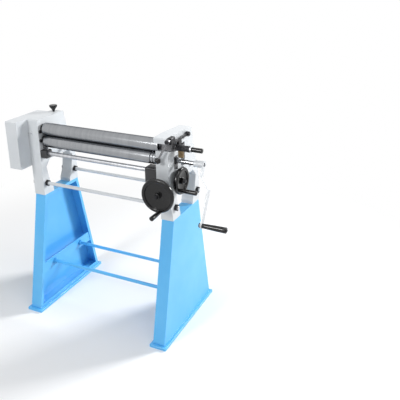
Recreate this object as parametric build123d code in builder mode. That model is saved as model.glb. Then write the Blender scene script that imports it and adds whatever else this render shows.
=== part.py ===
from build123d import *
import os
from math import atan, cos, pi, radians, sin, sqrt, tan

# Slip roll machine, hand cranked, on two folded sheet stands. Millimetres.
# The origin is on the floor, under the middle of the left foot plate.
# +X runs along the rolls to the crank, +Y to the rear, +Z up.

# ---------------------------------------------------------------- stands
STAND_PITCH = 692.0        # left stand's middle to right stand's middle
STAND_WIDTH = 58.0         # along X
STAND_TOP_DEPTH = 249.0
STAND_FOOT_DEPTH = 488.0
STAND_TOP = 577.0          # floor to the top of the stand
SHEET = 3.0
FOLD_LIP = 13.0
FOLD_RADIUS = 3.5
FOOT_THICKNESS = 12.0
FOOT_WIDTH = 82.0
FOOT_LENGTH = 516.0
BRACE_HEIGHT = 54.0
BRACE_THICKNESS = 5.0
BRACE_CLEARANCE = 0.5

# ---------------------------------------------------------------- tie bars
LOWER_BAR_DIAMETER = 16.0
LOWER_BAR_SPACING = 206.0
LOWER_BAR_Z = 208.0
UPPER_BAR_DIAMETER = 16.0
UPPER_BAR_SPACING = 213.0
UPPER_BAR_Z = 633.0
BAR_OVERHANG = 6.0         # thread left past the outer nut
NUT_THICKNESS = 11.0
NUT_ACROSS_FLATS = 27.0
THREAD_CLEARANCE = 0.06
BAR_HOLE_CLEARANCE = 0.4
FINE_EDGE = 1.0            # broken edges of turned and milled pieces
BAR_EDGE = 1.2
BROKEN_EDGE = 1.5
CUT_PAST = 1.0             # how far a cut runs past the face it leaves by

# ---------------------------------------------------------------- rolls
ROLL_DIAMETER = 58.0
ROLL_GAP = 0.5             # between the two pinching rolls, closed
ROLL_Y = -92.0
LOWER_ROLL_Z = 842.0
REAR_ROLL_Y = -27.0
REAR_ROLL_Z = 872.0
ROLL_END_GAP = 13.0        # roll end to the housing's inner face
JOURNAL_DIAMETER = 24.0
JOURNAL_CLEARANCE = 0.05   # radial running fit
WIRE_GROOVE_RADII = (2.0, 3.0, 4.0)
WIRE_GROOVE_PITCH = 13.0
WIRE_GROOVE_START = 12.0
GROOVE_SIDES = 8           # the form tool's section

# ---------------------------------------------------------------- housings
HOUSING_WIDTH = 58.0
HOUSING_TOP = 950.0
HOUSING_FRONT = -130.0
HOUSING_REAR_FOOT = 130.0
HOUSING_TOP_REAR = 60.0
HOUSING_SHOULDER_Y = 74.0
HOUSING_SHOULDER_Z = 880.0
LEG_TOP_Z = 690.0
ARCH_TOP_Z = 745.0
ARCH_TOP_HALF = 70.0
ARCH_WIDE_HALF = 98.0
ARCH_WIDE_Z = 712.0
ARCH_WAIST_HALF = 84.0
ARCH_WAIST_Z = 640.0
ARCH_FOOT_HALF = 62.0
ARCH_FOOT_Z = 592.0
ARCH_CORNER = 12.0
CASTING_CORNER = 9.0

# right housing: front bulge, open throat and nose
BULGE_FRONT = -160.0
BULGE_FOOT = -132.0
BULGE_FOOT_Z = 600.0
BULGE_Z = 690.0
NOSE_FRONT = -173.0
NOSE_TOP = 960.0
NOSE_CORNER = 6.0
THROAT_ANGLE = 13.0        # rise of the throat to the front
THROAT_HEIGHT = 34.0
THROAT_LENGTH = 120.0      # roll's axis to past the nose
THROAT_BLOCK_CLEARANCE = 0.3

# ---------------------------------------------------------------- bearing blocks
LOWER_BLOCK_WIDTH = 32.0   # along Y
LOWER_BLOCK_ABOVE = 22.0
LOWER_BLOCK_BELOW = 35.7
LOWER_DROP = 6.0           # travel that opens the pinch
REAR_BLOCK_WIDTH = 36.0
REAR_BLOCK_ABOVE = 20.0
REAR_BLOCK_BELOW = 39.0
REAR_DROP = 36.0
REAR_RISE = 10.0
BLOCK_SIDE_CLEARANCE = 0.3
BLOCK_END_CLEARANCE = 0.8
UPPER_BLOCK_FRONT = 24.0   # journal axis to the block's front end
UPPER_BLOCK_LENGTH = 50.0  # along X
BALL_RADIUS = 22.0
BALL_HALF_LENGTH = 15.0
BALL_CLEARANCE = 0.3
BALL_END_ROOM = 2.0
SWING_ANGLE = 4.5          # the upper roll's swing forward in the throat
STUB_DIAMETER = 20.0       # upper gear's own short shaft in the left housing
STUB_SEAT_LENGTH = 10.0

# ---------------------------------------------------------------- lifting gear
LIFT_SHAFT_DIAMETER = 20.0
LIFT_SHAFT_Y = -109.0
LIFT_SHAFT_Z = 788.0
CAM_NECK_DIAMETER = 14.0
CAM_HUB_RADIUS = 11.0
CAM_ARM = 17.0
CAM_SWING = 10.0           # degrees above level, and as much below after the drop
CAM_THICKNESS = 22.0
CAM_SEAT = 0.3
CAM_ROOM = 3.0             # pocket's wall to the cam, in front and behind
CAM_SIDE_ROOM = 1.0
CAM_POCKET_FLOOR = 764.0
BRACKET_LENGTH = 34.0      # along X
BRACKET_WIDTH = 42.0
BRACKET_ABOVE = 16.0
BRACKET_BELOW = 22.0
GEARBOX_LENGTH = 74.0
GEARBOX_BELOW = 64.0
GEARBOX_WIDTH = 54.0
GEARBOX_BEHIND = 34.0      # shaft's axis to the gearbox's rear face
REAR_SCREW_DIAMETER = 16.0
REAR_SCREW_LENGTH = 78.0
REAR_SHAFT_DIAMETER = 18.0
REAR_SHAFT_Y = 40.0
REAR_SHAFT_Z = 778.0
SHAFT_CLEARANCE = 0.06
FLANGE_DIAMETER = 40.0
FLANGE_THICKNESS = 8.0

# ---------------------------------------------------------------- gears and cover
GEAR_TEETH = 16
GEAR_WIDTH = 26.0
GEAR_SIDE_GAP = 9.0        # housing's outer face to the gears
GEAR_BACKLASH = 0.5
COVER_WIDTH = 65.0
COVER_FRONT = -205.0
COVER_REAR = 21.0
COVER_BOTTOM = 722.0
COVER_SHEET = 2.5
COVER_CORNER = 4.0
TAB_Z = 882.0              # folded tab that holds the cover on the housing's front
TAB_HEIGHT = 22.0
TAB_REACH = 22.0
TAB_SCREW_PITCH = 12.0
SCREW_DIAMETER = 4.0
SCREW_HEAD_DIAMETER = 7.5
SCREW_HEAD_HEIGHT = 3.0

# ---------------------------------------------------------------- crank
CRANK_SHAFT_DIAMETER = 18.0
CRANK_HUB_DIAMETER = 30.0
CRANK_HUB_START = 87.0     # from the right housing's outer face
CRANK_HUB_LENGTH = 38.0
CRANK_RADIUS = 244.0
CRANK_ANGLE = 29.5         # tilt of the hanging arm toward the front
CRANK_ARM_WIDTH = 24.0
CRANK_ARM_THICKNESS = 6.0
CRANK_JOGGLE = 44.0
JOGGLE_START = 50.0
JOGGLE_END = 100.0
CRANK_GRIP_LENGTH = 104.0
CRANK_GRIP_DIAMETER = 25.0
CRANK_GRIP_ROOT = 19.0
CRANK_PIN_DIAMETER = 9.0
GRIP_CLEARANCE = 0.3
GRIP_STEPS = 6             # straight stretches in a grip's turned outline
GRIP_SWELL_ANGLE = 90.0    # part of a sine wave that the outline follows
GRIP_END_BEVEL = 1.5

# ---------------------------------------------------------------- handwheels
FRONT_WHEEL_DIAMETER = 150.0
FRONT_WHEEL_Z = 721.0
FRONT_WHEEL_FACE = 55.0    # bulge to the wheel's rim face
SIDE_WHEEL_DIAMETER = 120.0
SIDE_WHEEL_Y = -92.0
SIDE_WHEEL_Z = 755.0
SIDE_WHEEL_FACE = 34.0
WHEEL_RIM = 20.0           # rim length along the axis
WHEEL_RIM_WALL = 16.0
WHEEL_DISC = 6.0
WHEEL_HUB_DIAMETER = 28.0
SPINDLE_DIAMETER = 14.0
SPINDLE_CAP_DIAMETER = 20.0
SPINDLE_SEAT = 40.0        # front spindle's length inside the housing
SIDE_SPINDLE_SEAT = 14.0
BOSS_DIAMETER = 36.0
WHEEL_GRIP_DIAMETER = 20.0
WHEEL_GRIP_ROOT = 15.0
FRONT_GRIP_LENGTH = 72.0
SIDE_GRIP_LENGTH = 82.0
WHEEL_GRIP_INSET = 8.0     # rim edge to the grip's axis
FRONT_GRIP_ANGLE = 282.0
SIDE_GRIP_ANGLE = 208.0

# ---------------------------------------------------------------- latch and top screw
BAR_OFFSET = 3.0           # housing's outer face to the latch bar
LATCH_BAR_THICKNESS = 10.0
LATCH_BAR_HEIGHT = 9.0
LATCH_BAR_Z = 933.0
LATCH_BAR_FRONT = -134.0
LATCH_PIVOT_Y = 4.0
LATCH_PIVOT_DIAMETER = 9.0
LATCH_EYE_DIAMETER = 22.0
PIVOT_DEPTH = 20.0         # pivot pin's length inside the housing
LEVER_PIVOT_Z = 952.0
LEVER_PIN_DIAMETER = 9.0
LEVER_ROD_DIAMETER = 8.0
LEVER_HUB_DIAMETER = 21.0
LEVER_PLANE_Y = -181.0
LEVER_LENGTH = 100.0
LEVER_ANGLE = 29.0         # lean from plumb, toward the rolls
LEVER_BALL_DIAMETER = 26.0
KNOB_DIAMETER = 38.0
KNOB_HEIGHT = 29.0
KNOB_STEM_DIAMETER = 9.0
KNOB_STEM_HEIGHT = 4.0
KNOB_Y = 25.0
KNOB_BORE_DEPTH = 24.0
TAIL_SLEEVE_DIAMETER = 27.0
TAIL_SLEEVE_LENGTH = 62.0
TAIL_RIBS = 7
TAIL_RIB_DEPTH = 1.6
RIB_SLOPE = 0.25           # share of a rib's pitch in each of its slopes
TAIL_COLLAR_DIAMETER = 25.0
TAIL_COLLAR_LENGTH = 8.0
TAIL_GRIP_DIAMETER = 21.0
TAIL_GRIP_LENGTH = 48.0
TAIL_START = 5.0
BOLT_DIAMETER = 8.0
BOLT_HEAD = 14.0
BOLT_HEAD_HEIGHT = 7.0
BOLT_GRIP = 15.0
FACE_BOLT_Y = -121.0
FACE_BOLT_Z = (848.0, 892.0)

# ---------------------------------------------------------------- places worked out from the sizes
LEFT_X = 0.0
RIGHT_X = STAND_PITCH
HALF_HOUSING = HOUSING_WIDTH / 2
LEFT_INNER = LEFT_X + HALF_HOUSING
LEFT_OUTER = LEFT_X - HALF_HOUSING
RIGHT_INNER = RIGHT_X - HALF_HOUSING
RIGHT_OUTER = RIGHT_X + HALF_HOUSING
ROLL_PITCH = ROLL_DIAMETER + ROLL_GAP
UPPER_ROLL_Z = LOWER_ROLL_Z + ROLL_PITCH
ROLL_START = LEFT_INNER + ROLL_END_GAP
ROLL_LENGTH = RIGHT_INNER - ROLL_END_GAP - ROLL_START
BLOCK_BORE = JOURNAL_DIAMETER / 2 + JOURNAL_CLEARANCE
CAM_RISE = CAM_ARM * sin(radians(CAM_SWING))
CAM_TIP_RADIUS = LOWER_ROLL_Z - LOWER_BLOCK_BELOW - CAM_SEAT - LIFT_SHAFT_Z - CAM_RISE
THROAT_SLOPE = tan(radians(THROAT_ANGLE))
ARM_X = RIGHT_OUTER + CRANK_HUB_START + CRANK_HUB_LENGTH
ARM_OUT_X = ARM_X + CRANK_JOGGLE
ARM_END_X = ARM_OUT_X + CRANK_ARM_THICKNESS
BAR_X = RIGHT_OUTER + BAR_OFFSET + LATCH_BAR_THICKNESS / 2
SIDES = (("left", LEFT_X, 1), ("right", RIGHT_X, -1))

os.makedirs("parts", exist_ok=True)


def save(builder, name):
    """Label a finished piece and write it under its node name."""
    builder.part.label = name
    export_step(builder.part, f"parts/{name}.step")


def along_x(x, y, z):
    """Plane at a point, looking along +X, with its own X to the rear."""
    return Plane(origin=(x, y, z), x_dir=(0, 1, 0), z_dir=(1, 0, 0))


def along_y(x, y, z):
    """Plane at a point, looking to the front, with its own X to the right."""
    return Plane(origin=(x, y, z), x_dir=(1, 0, 0), z_dir=(0, -1, 0))


def rod(plane, diameter, length):
    """A round bar that starts on the plane, inside the builder in use."""
    with BuildSketch(plane) as disc:
        Circle(diameter / 2)
    extrude(disc.sketch, amount=length)


def bore(plane, diameter, depth):
    """A round hole that starts on the plane, inside the builder in use."""
    with BuildSketch(plane) as disc:
        Circle(diameter / 2)
    extrude(disc.sketch, amount=depth, mode=Mode.SUBTRACT)


# ================================================================ stands


def stand_outline(plane, inset):
    """The stand's side shape, drawn in by the inset all round."""
    with BuildSketch(plane) as outline:
        with BuildLine():
            Polyline(
                (-STAND_FOOT_DEPTH / 2, FOOT_THICKNESS),
                (STAND_FOOT_DEPTH / 2, FOOT_THICKNESS),
                (STAND_TOP_DEPTH / 2, STAND_TOP),
                (-STAND_TOP_DEPTH / 2, STAND_TOP),
                close=True,
            )
        make_face()
        if inset > 0:
            offset(amount=-inset, kind=Kind.INTERSECTION, mode=Mode.REPLACE)
    return outline.sketch


def housing_bolt_places():
    """Where the housing bolts stand, from the middle of a housing."""
    return GridLocations(HOUSING_WIDTH / 2, UPPER_BAR_SPACING, 2, 2)


HOUSING_BOLT_DIAMETER = 12.0
HOUSING_BOLT_HOLE = 13.0
HOUSING_BOLT_DEPTH = 26.0
HOUSING_BOLT_HEAD = 19.0
HOUSING_BOLT_HEAD_HEIGHT = 8.0

for side, middle, inward in SIDES:
    web_x = middle - inward * STAND_WIDTH / 2
    open_x = middle + inward * STAND_WIDTH / 2

    # Folded sheet box, open to the middle of the machine behind a return lip.
    with BuildPart() as stand:
        extrude(stand_outline(Plane.YZ.offset(web_x), 0), amount=inward * STAND_WIDTH)
        folds = stand.edges().filter_by(Axis.X)
        fillet(folds, radius=FOLD_RADIUS)
        cavity = stand_outline(Plane.YZ.offset(web_x + inward * SHEET), SHEET)
        extrude(cavity, amount=inward * (STAND_WIDTH - 2 * SHEET), mode=Mode.SUBTRACT)
        mouth = stand_outline(Plane.YZ.offset(open_x - inward * SHEET), SHEET + FOLD_LIP)
        extrude(mouth, amount=inward * SHEET, mode=Mode.SUBTRACT)
        with BuildSketch(Plane.XY.offset(STAND_TOP - SHEET)):
            with Locations((middle, 0)):
                with housing_bolt_places():
                    Circle(HOUSING_BOLT_HOLE / 2)
        extrude(amount=SHEET, mode=Mode.SUBTRACT)
    save(stand, f"{side}_stand")

    # Cross brace behind the lips, which carries the lower tie bars.
    brace_x = open_x - inward * (SHEET + BRACE_THICKNESS)
    with BuildPart() as brace:
        inside = stand_outline(Plane.YZ.offset(brace_x), SHEET + BRACE_CLEARANCE)
        extrude(inside, amount=inward * BRACE_THICKNESS)
        with BuildSketch(Plane.YZ.offset(brace_x)):
            with Locations((0, LOWER_BAR_Z)):
                Rectangle(STAND_FOOT_DEPTH, BRACE_HEIGHT)
        extrude(amount=inward * BRACE_THICKNESS, mode=Mode.INTERSECT)
        with BuildSketch(Plane.YZ.offset(brace_x)):
            with Locations((0, LOWER_BAR_Z)):
                with GridLocations(LOWER_BAR_SPACING, 0, 2, 1):
                    Circle(LOWER_BAR_DIAMETER / 2 + BAR_HOLE_CLEARANCE)
        extrude(amount=inward * BRACE_THICKNESS, mode=Mode.SUBTRACT)
    save(brace, f"{side}_brace")

# Foot plates, welded under the stands, standing out all round.
with BuildPart() as foot_plates:
    with BuildSketch(Plane.XY):
        with Locations((LEFT_X, 0), (RIGHT_X, 0)):
            RectangleRounded(FOOT_WIDTH, FOOT_LENGTH, SHEET)
    extrude(amount=FOOT_THICKNESS)
    chamfer(foot_plates.faces().group_by(Axis.Z)[-1].edges(), length=FINE_EDGE)
save(foot_plates, "foot_plates")

# ================================================================ tie bars and their nuts

BRACE_FACE = STAND_WIDTH / 2 - SHEET   # brace's inner face from the stand's middle
BRACE_BACK = BRACE_FACE - BRACE_THICKNESS


def tie_bar(name, y, z, diameter, start_x, end_x):
    """A round bar along X with chamfered ends."""
    with BuildPart() as bar:
        rod(along_x(start_x, y, z), diameter, end_x - start_x)
        chamfer(bar.edges().filter_by(GeomType.CIRCLE), length=BAR_EDGE)
    save(bar, name)


def nut_at(plane, bore_diameter):
    """One hexagon nut, seated on the plane."""
    with BuildSketch(plane) as hexagon:
        RegularPolygon(radius=NUT_ACROSS_FLATS / 2, side_count=6, major_radius=False)
        Circle(bore_diameter / 2 + THREAD_CLEARANCE, mode=Mode.SUBTRACT)
    extrude(hexagon.sketch, amount=NUT_THICKNESS)


lower_reach = NUT_THICKNESS + BAR_OVERHANG
for place, y in (("front", -LOWER_BAR_SPACING / 2), ("rear", LOWER_BAR_SPACING / 2)):
    tie_bar(
        f"{place}_lower_tie_bar",
        y,
        LOWER_BAR_Z,
        LOWER_BAR_DIAMETER,
        LEFT_X + BRACE_BACK - lower_reach,
        RIGHT_X - BRACE_BACK + lower_reach,
    )
for place, y in (("front", -UPPER_BAR_SPACING / 2), ("rear", UPPER_BAR_SPACING / 2)):
    tie_bar(
        f"{place}_upper_tie_bar",
        y,
        UPPER_BAR_Z,
        UPPER_BAR_DIAMETER,
        LEFT_OUTER - lower_reach,
        RIGHT_OUTER + lower_reach,
    )

with BuildPart() as lower_nuts:
    for y in (-LOWER_BAR_SPACING / 2, LOWER_BAR_SPACING / 2):
        nut_at(along_x(LEFT_X + BRACE_FACE, y, LOWER_BAR_Z), LOWER_BAR_DIAMETER)
        nut_at(along_x(LEFT_X + BRACE_BACK - NUT_THICKNESS, y, LOWER_BAR_Z), LOWER_BAR_DIAMETER)
        nut_at(along_x(RIGHT_X - BRACE_FACE - NUT_THICKNESS, y, LOWER_BAR_Z), LOWER_BAR_DIAMETER)
        nut_at(along_x(RIGHT_X - BRACE_BACK, y, LOWER_BAR_Z), LOWER_BAR_DIAMETER)
save(lower_nuts, "lower_tie_bar_nuts")

with BuildPart() as upper_nuts:
    for y in (-UPPER_BAR_SPACING / 2, UPPER_BAR_SPACING / 2):
        nut_at(along_x(LEFT_INNER, y, UPPER_BAR_Z), UPPER_BAR_DIAMETER)
        nut_at(along_x(LEFT_OUTER - NUT_THICKNESS, y, UPPER_BAR_Z), UPPER_BAR_DIAMETER)
        nut_at(along_x(RIGHT_INNER - NUT_THICKNESS, y, UPPER_BAR_Z), UPPER_BAR_DIAMETER)
        nut_at(along_x(RIGHT_OUTER, y, UPPER_BAR_Z), UPPER_BAR_DIAMETER)
save(upper_nuts, "upper_tie_bar_nuts")

# ================================================================ housings

THROAT_HALF = THROAT_HEIGHT / 2 / cos(radians(THROAT_ANGLE))


def throat_z(y):
    """Height of the throat's middle line at a depth."""
    return UPPER_ROLL_Z + (ROLL_Y - y) * THROAT_SLOPE


def arch_points():
    """The arch between the legs, from the front foot over to the rear foot."""
    front = [
        (-ARCH_FOOT_HALF, STAND_TOP),
        (-ARCH_FOOT_HALF, ARCH_FOOT_Z),
        (-ARCH_WAIST_HALF, ARCH_WAIST_Z),
        (-ARCH_WIDE_HALF, ARCH_WIDE_Z),
        (-ARCH_TOP_HALF, ARCH_TOP_Z),
    ]
    rear = [(-y, z) for y, z in reversed(front)]
    return front + rear


LEFT_OUTLINE = [
    (HOUSING_FRONT, STAND_TOP),
    (HOUSING_FRONT, HOUSING_TOP),
    (HOUSING_TOP_REAR, HOUSING_TOP),
    (HOUSING_SHOULDER_Y, HOUSING_SHOULDER_Z),
    (HOUSING_REAR_FOOT, LEG_TOP_Z),
    (HOUSING_REAR_FOOT, STAND_TOP),
]
RIGHT_OUTLINE = [
    (BULGE_FOOT, STAND_TOP),
    (BULGE_FOOT, BULGE_FOOT_Z),
    (BULGE_FRONT, BULGE_Z),
    (BULGE_FRONT, throat_z(BULGE_FRONT) - THROAT_HALF),
    (BULGE_FRONT, throat_z(BULGE_FRONT) + THROAT_HALF),
    (NOSE_FRONT, throat_z(NOSE_FRONT) + THROAT_HALF),
    (NOSE_FRONT, NOSE_TOP),
    (ROLL_Y, NOSE_TOP),
    (HOUSING_TOP_REAR, HOUSING_TOP),
    (HOUSING_SHOULDER_Y, HOUSING_SHOULDER_Z),
    (HOUSING_REAR_FOOT, LEG_TOP_Z),
    (HOUSING_REAR_FOOT, STAND_TOP),
]


def window(middle, y, width, bottom, top, start, depth):
    """A rectangular guide way for a bearing block, cut along X."""
    with BuildSketch(Plane.YZ.offset(middle + start)) as way:
        with Locations((y, (bottom + top) / 2)):
            Rectangle(width, top - bottom)
    extrude(way.sketch, amount=depth, mode=Mode.SUBTRACT)


for side, middle, inward in SIDES:
    outline = LEFT_OUTLINE if side == "left" else RIGHT_OUTLINE
    outer_x = middle - inward * HALF_HOUSING
    with BuildPart() as housing:
        with BuildSketch(Plane.YZ.offset(middle - HALF_HOUSING)) as side_shape:
            with BuildLine():
                Polyline(*outline, close=True)
            make_face()
            tops = side_shape.vertices().group_by(Axis.Y)[-1]
            fillet(tops, radius=CASTING_CORNER if side == "left" else NOSE_CORNER)
        extrude(amount=HOUSING_WIDTH)
        with BuildSketch(Plane.YZ.offset(middle - HALF_HOUSING)) as arch:
            with BuildLine():
                Polyline(*arch_points(), close=True)
            make_face()
            upper_corners = arch.vertices().group_by(Axis.Y)[-1]
            fillet(upper_corners, radius=ARCH_CORNER)
        extrude(amount=HOUSING_WIDTH, mode=Mode.SUBTRACT)

        # guide ways of the lower and rear bearing blocks
        window(
            middle,
            ROLL_Y,
            LOWER_BLOCK_WIDTH + 2 * BLOCK_SIDE_CLEARANCE,
            LOWER_ROLL_Z - LOWER_BLOCK_BELOW - LOWER_DROP - BLOCK_END_CLEARANCE,
            LOWER_ROLL_Z + LOWER_BLOCK_ABOVE + BLOCK_SIDE_CLEARANCE,
            -HALF_HOUSING,
            HOUSING_WIDTH,
        )
        window(
            middle,
            REAR_ROLL_Y,
            REAR_BLOCK_WIDTH + 2 * BLOCK_SIDE_CLEARANCE,
            REAR_ROLL_Z - REAR_BLOCK_BELOW - REAR_DROP - BLOCK_END_CLEARANCE,
            REAR_ROLL_Z + REAR_BLOCK_ABOVE + REAR_RISE + BLOCK_END_CLEARANCE,
            -HALF_HOUSING,
            HOUSING_WIDTH,
        )
        # pocket of the lifting cam, open to the inner side
        cam_pocket_top = LOWER_ROLL_Z - LOWER_BLOCK_BELOW
        pocket_front = LIFT_SHAFT_Y - CAM_HUB_RADIUS - CAM_ROOM
        pocket_rear = LIFT_SHAFT_Y + CAM_ARM + CAM_TIP_RADIUS + CAM_ROOM
        pocket_depth = HALF_HOUSING + CAM_THICKNESS / 2 + CAM_SIDE_ROOM
        pocket_middle = ((pocket_front + pocket_rear) / 2, (cam_pocket_top + CAM_POCKET_FLOOR) / 2)
        with BuildSketch(Plane.YZ.offset(middle + inward * HALF_HOUSING)):
            with Locations(pocket_middle):
                Rectangle(pocket_rear - pocket_front, cam_pocket_top - CAM_POCKET_FLOOR)
        extrude(amount=-inward * pocket_depth, mode=Mode.SUBTRACT)

        # bores of the rear lifting screw, the cross shaft and the upper tie bars
        screw_top = REAR_ROLL_Z - REAR_BLOCK_BELOW - REAR_DROP
        bore(
            Plane(origin=(middle, REAR_ROLL_Y, ARCH_TOP_Z - CUT_PAST)),
            REAR_SCREW_DIAMETER + 2 * BAR_HOLE_CLEARANCE,
            screw_top - ARCH_TOP_Z + 2 * CUT_PAST,
        )
        bore(
            along_x(middle - HALF_HOUSING, REAR_SHAFT_Y, REAR_SHAFT_Z),
            REAR_SHAFT_DIAMETER + 2 * SHAFT_CLEARANCE,
            HOUSING_WIDTH,
        )
        for y in (-UPPER_BAR_SPACING / 2, UPPER_BAR_SPACING / 2):
            bore(
                along_x(middle - HALF_HOUSING, y, UPPER_BAR_Z),
                UPPER_BAR_DIAMETER + 2 * BAR_HOLE_CLEARANCE,
                HOUSING_WIDTH,
            )
        with BuildSketch(Plane.XY.offset(STAND_TOP)):
            with Locations((middle, 0)):
                with housing_bolt_places():
                    Circle(HOUSING_BOLT_DIAMETER / 2 + THREAD_CLEARANCE)
        extrude(amount=HOUSING_BOLT_DEPTH + CUT_PAST, mode=Mode.SUBTRACT)

        if side == "left":
            # seat of the upper roll's ball, open to the rolls, and of the gear's stub
            seat_depth = BALL_HALF_LENGTH + HALF_HOUSING + BALL_END_ROOM
            seat_start = LEFT_INNER - seat_depth
            seat_diameter = 2 * (BALL_RADIUS + BALL_CLEARANCE)
            bore(along_x(seat_start, ROLL_Y, UPPER_ROLL_Z), seat_diameter, seat_depth)
            stub_bore = STUB_DIAMETER + 2 * SHAFT_CLEARANCE
            bore(along_x(outer_x, ROLL_Y, UPPER_ROLL_Z), stub_bore, HALF_HOUSING)
            bore(
                Plane(origin=(middle, KNOB_Y, HOUSING_TOP - KNOB_BORE_DEPTH)),
                KNOB_STEM_DIAMETER + 2 * SHAFT_CLEARANCE,
                KNOB_BORE_DEPTH + CUT_PAST,
            )
            for z in FACE_BOLT_Z:
                bore(
                    along_x(LEFT_INNER - BOLT_GRIP, FACE_BOLT_Y, z),
                    BOLT_DIAMETER + 2 * THREAD_CLEARANCE,
                    BOLT_GRIP + CUT_PAST,
                )
        else:
            # open throat: a slanted slot with a round back end
            slot_radius = THROAT_HEIGHT / 2
            slot = Plane(
                origin=(middle - HALF_HOUSING, ROLL_Y, UPPER_ROLL_Z),
                x_dir=(0, -cos(radians(THROAT_ANGLE)), sin(radians(THROAT_ANGLE))),
                z_dir=(-1, 0, 0),
            )
            with BuildSketch(slot):
                Circle(slot_radius)
                with Locations((THROAT_LENGTH / 2, 0)):
                    Rectangle(THROAT_LENGTH, THROAT_HEIGHT)
            extrude(amount=-HOUSING_WIDTH, mode=Mode.SUBTRACT)
            bore(
                along_y(middle, BULGE_FRONT + SPINDLE_SEAT, FRONT_WHEEL_Z),
                SPINDLE_DIAMETER + 2 * SHAFT_CLEARANCE,
                SPINDLE_SEAT + CUT_PAST,
            )
            bore(
                along_x(RIGHT_OUTER - SIDE_SPINDLE_SEAT, SIDE_WHEEL_Y, SIDE_WHEEL_Z),
                SPINDLE_DIAMETER + 2 * SHAFT_CLEARANCE,
                SIDE_SPINDLE_SEAT + CUT_PAST,
            )
            bore(
                along_x(RIGHT_OUTER - PIVOT_DEPTH, LATCH_PIVOT_Y, LATCH_BAR_Z),
                LATCH_PIVOT_DIAMETER + 2 * THREAD_CLEARANCE,
                PIVOT_DEPTH + CUT_PAST,
            )
    save(housing, f"{side}_housing")

# hexagon bolts from inside the stands into the housings' feet
with BuildPart() as bolts:
    for middle in (LEFT_X, RIGHT_X):
        with Locations((middle, 0, STAND_TOP - SHEET)):
            with housing_bolt_places():
                Cylinder(
                    HOUSING_BOLT_DIAMETER / 2,
                    SHEET + HOUSING_BOLT_DEPTH,
                    align=(Align.CENTER, Align.CENTER, Align.MIN),
                )
        with BuildSketch(Plane.XY.offset(STAND_TOP - SHEET)):
            with Locations((middle, 0)):
                with housing_bolt_places():
                    RegularPolygon(HOUSING_BOLT_HEAD / 2, side_count=6, major_radius=False)
        extrude(amount=-HOUSING_BOLT_HEAD_HEIGHT)
save(bolts, "housing_bolts")

# ================================================================ rolls

ROLL_END = ROLL_START + ROLL_LENGTH
COLLAR_DIAMETER = 38.0
COLLAR_THICKNESS = 8.0
COLLAR_GAP = 0.6
SWING_COLLAR_GAP = 3.5     # left collar of the swinging roll to the housing
GEAR_INNER_X = LEFT_OUTER - GEAR_SIDE_GAP
GEAR_OUTER_X = GEAR_INNER_X - GEAR_WIDTH
SHAFT_STANDOUT = 2.0
JOURNAL_END_GAP = 1.0
UPPER_BLOCK_INSET = 4.0    # block's end, inside the housing's inner face
UPPER_BLOCK_START = RIGHT_INNER + UPPER_BLOCK_INSET
UPPER_BLOCK_END = UPPER_BLOCK_START + UPPER_BLOCK_LENGTH
UPPER_BLOCK_FLOOR = 10.0   # closed outer end of the upper roll's block
REAR_JOURNAL_INSET = 8.0   # rear roll's journal end, inside the housing's outer face

with BuildPart() as lower_roll:
    rod(along_x(ROLL_START, ROLL_Y, LOWER_ROLL_Z), ROLL_DIAMETER, ROLL_LENGTH)
    chamfer(lower_roll.edges().filter_by(GeomType.CIRCLE), length=FINE_EDGE)
    for count, radius in enumerate(WIRE_GROOVE_RADII):
        groove_x = ROLL_END - WIRE_GROOVE_START - count * WIRE_GROOVE_PITCH
        with BuildSketch(along_y(groove_x, ROLL_Y, LOWER_ROLL_Z)) as cut:
            with Locations((0, ROLL_DIAMETER / 2)):
                RegularPolygon(radius, side_count=GROOVE_SIDES, rotation=180 / GROOVE_SIDES)
        groove_axis = Axis((groove_x, ROLL_Y, LOWER_ROLL_Z), (1, 0, 0))
        revolve(cut.sketch, axis=groove_axis, mode=Mode.SUBTRACT)
    left_end = GEAR_OUTER_X - SHAFT_STANDOUT
    rod(along_x(left_end, ROLL_Y, LOWER_ROLL_Z), JOURNAL_DIAMETER, ROLL_START - left_end)
    rod(along_x(ROLL_END, ROLL_Y, LOWER_ROLL_Z), JOURNAL_DIAMETER, RIGHT_OUTER - ROLL_END)
    shaft_length = ARM_X + CRANK_ARM_THICKNESS - RIGHT_OUTER
    rod(along_x(RIGHT_OUTER, ROLL_Y, LOWER_ROLL_Z), CRANK_SHAFT_DIAMETER, shaft_length)
save(lower_roll, "lower_roll")

upper_journal_left = LEFT_X - BALL_HALF_LENGTH + JOURNAL_END_GAP
upper_journal_right = UPPER_BLOCK_END - UPPER_BLOCK_FLOOR - JOURNAL_END_GAP
with BuildPart() as upper_roll:
    rod(along_x(ROLL_START, ROLL_Y, UPPER_ROLL_Z), ROLL_DIAMETER, ROLL_LENGTH)
    chamfer(upper_roll.edges().filter_by(GeomType.CIRCLE), length=FINE_EDGE)
    left_journal = ROLL_START - upper_journal_left
    rod(along_x(upper_journal_left, ROLL_Y, UPPER_ROLL_Z), JOURNAL_DIAMETER, left_journal)
    right_journal = upper_journal_right - ROLL_END
    rod(along_x(ROLL_END, ROLL_Y, UPPER_ROLL_Z), JOURNAL_DIAMETER, right_journal)
save(upper_roll, "upper_roll")

rear_journal = ROLL_START - LEFT_OUTER - REAR_JOURNAL_INSET
with BuildPart() as rear_roll:
    rod(along_x(ROLL_START, REAR_ROLL_Y, REAR_ROLL_Z), ROLL_DIAMETER, ROLL_LENGTH)
    chamfer(rear_roll.edges().filter_by(GeomType.CIRCLE), length=FINE_EDGE)
    left_end = ROLL_START - rear_journal
    rod(along_x(left_end, REAR_ROLL_Y, REAR_ROLL_Z), JOURNAL_DIAMETER, rear_journal)
    rod(along_x(ROLL_END, REAR_ROLL_Y, REAR_ROLL_Z), JOURNAL_DIAMETER, rear_journal)
save(rear_roll, "rear_roll")


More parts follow.
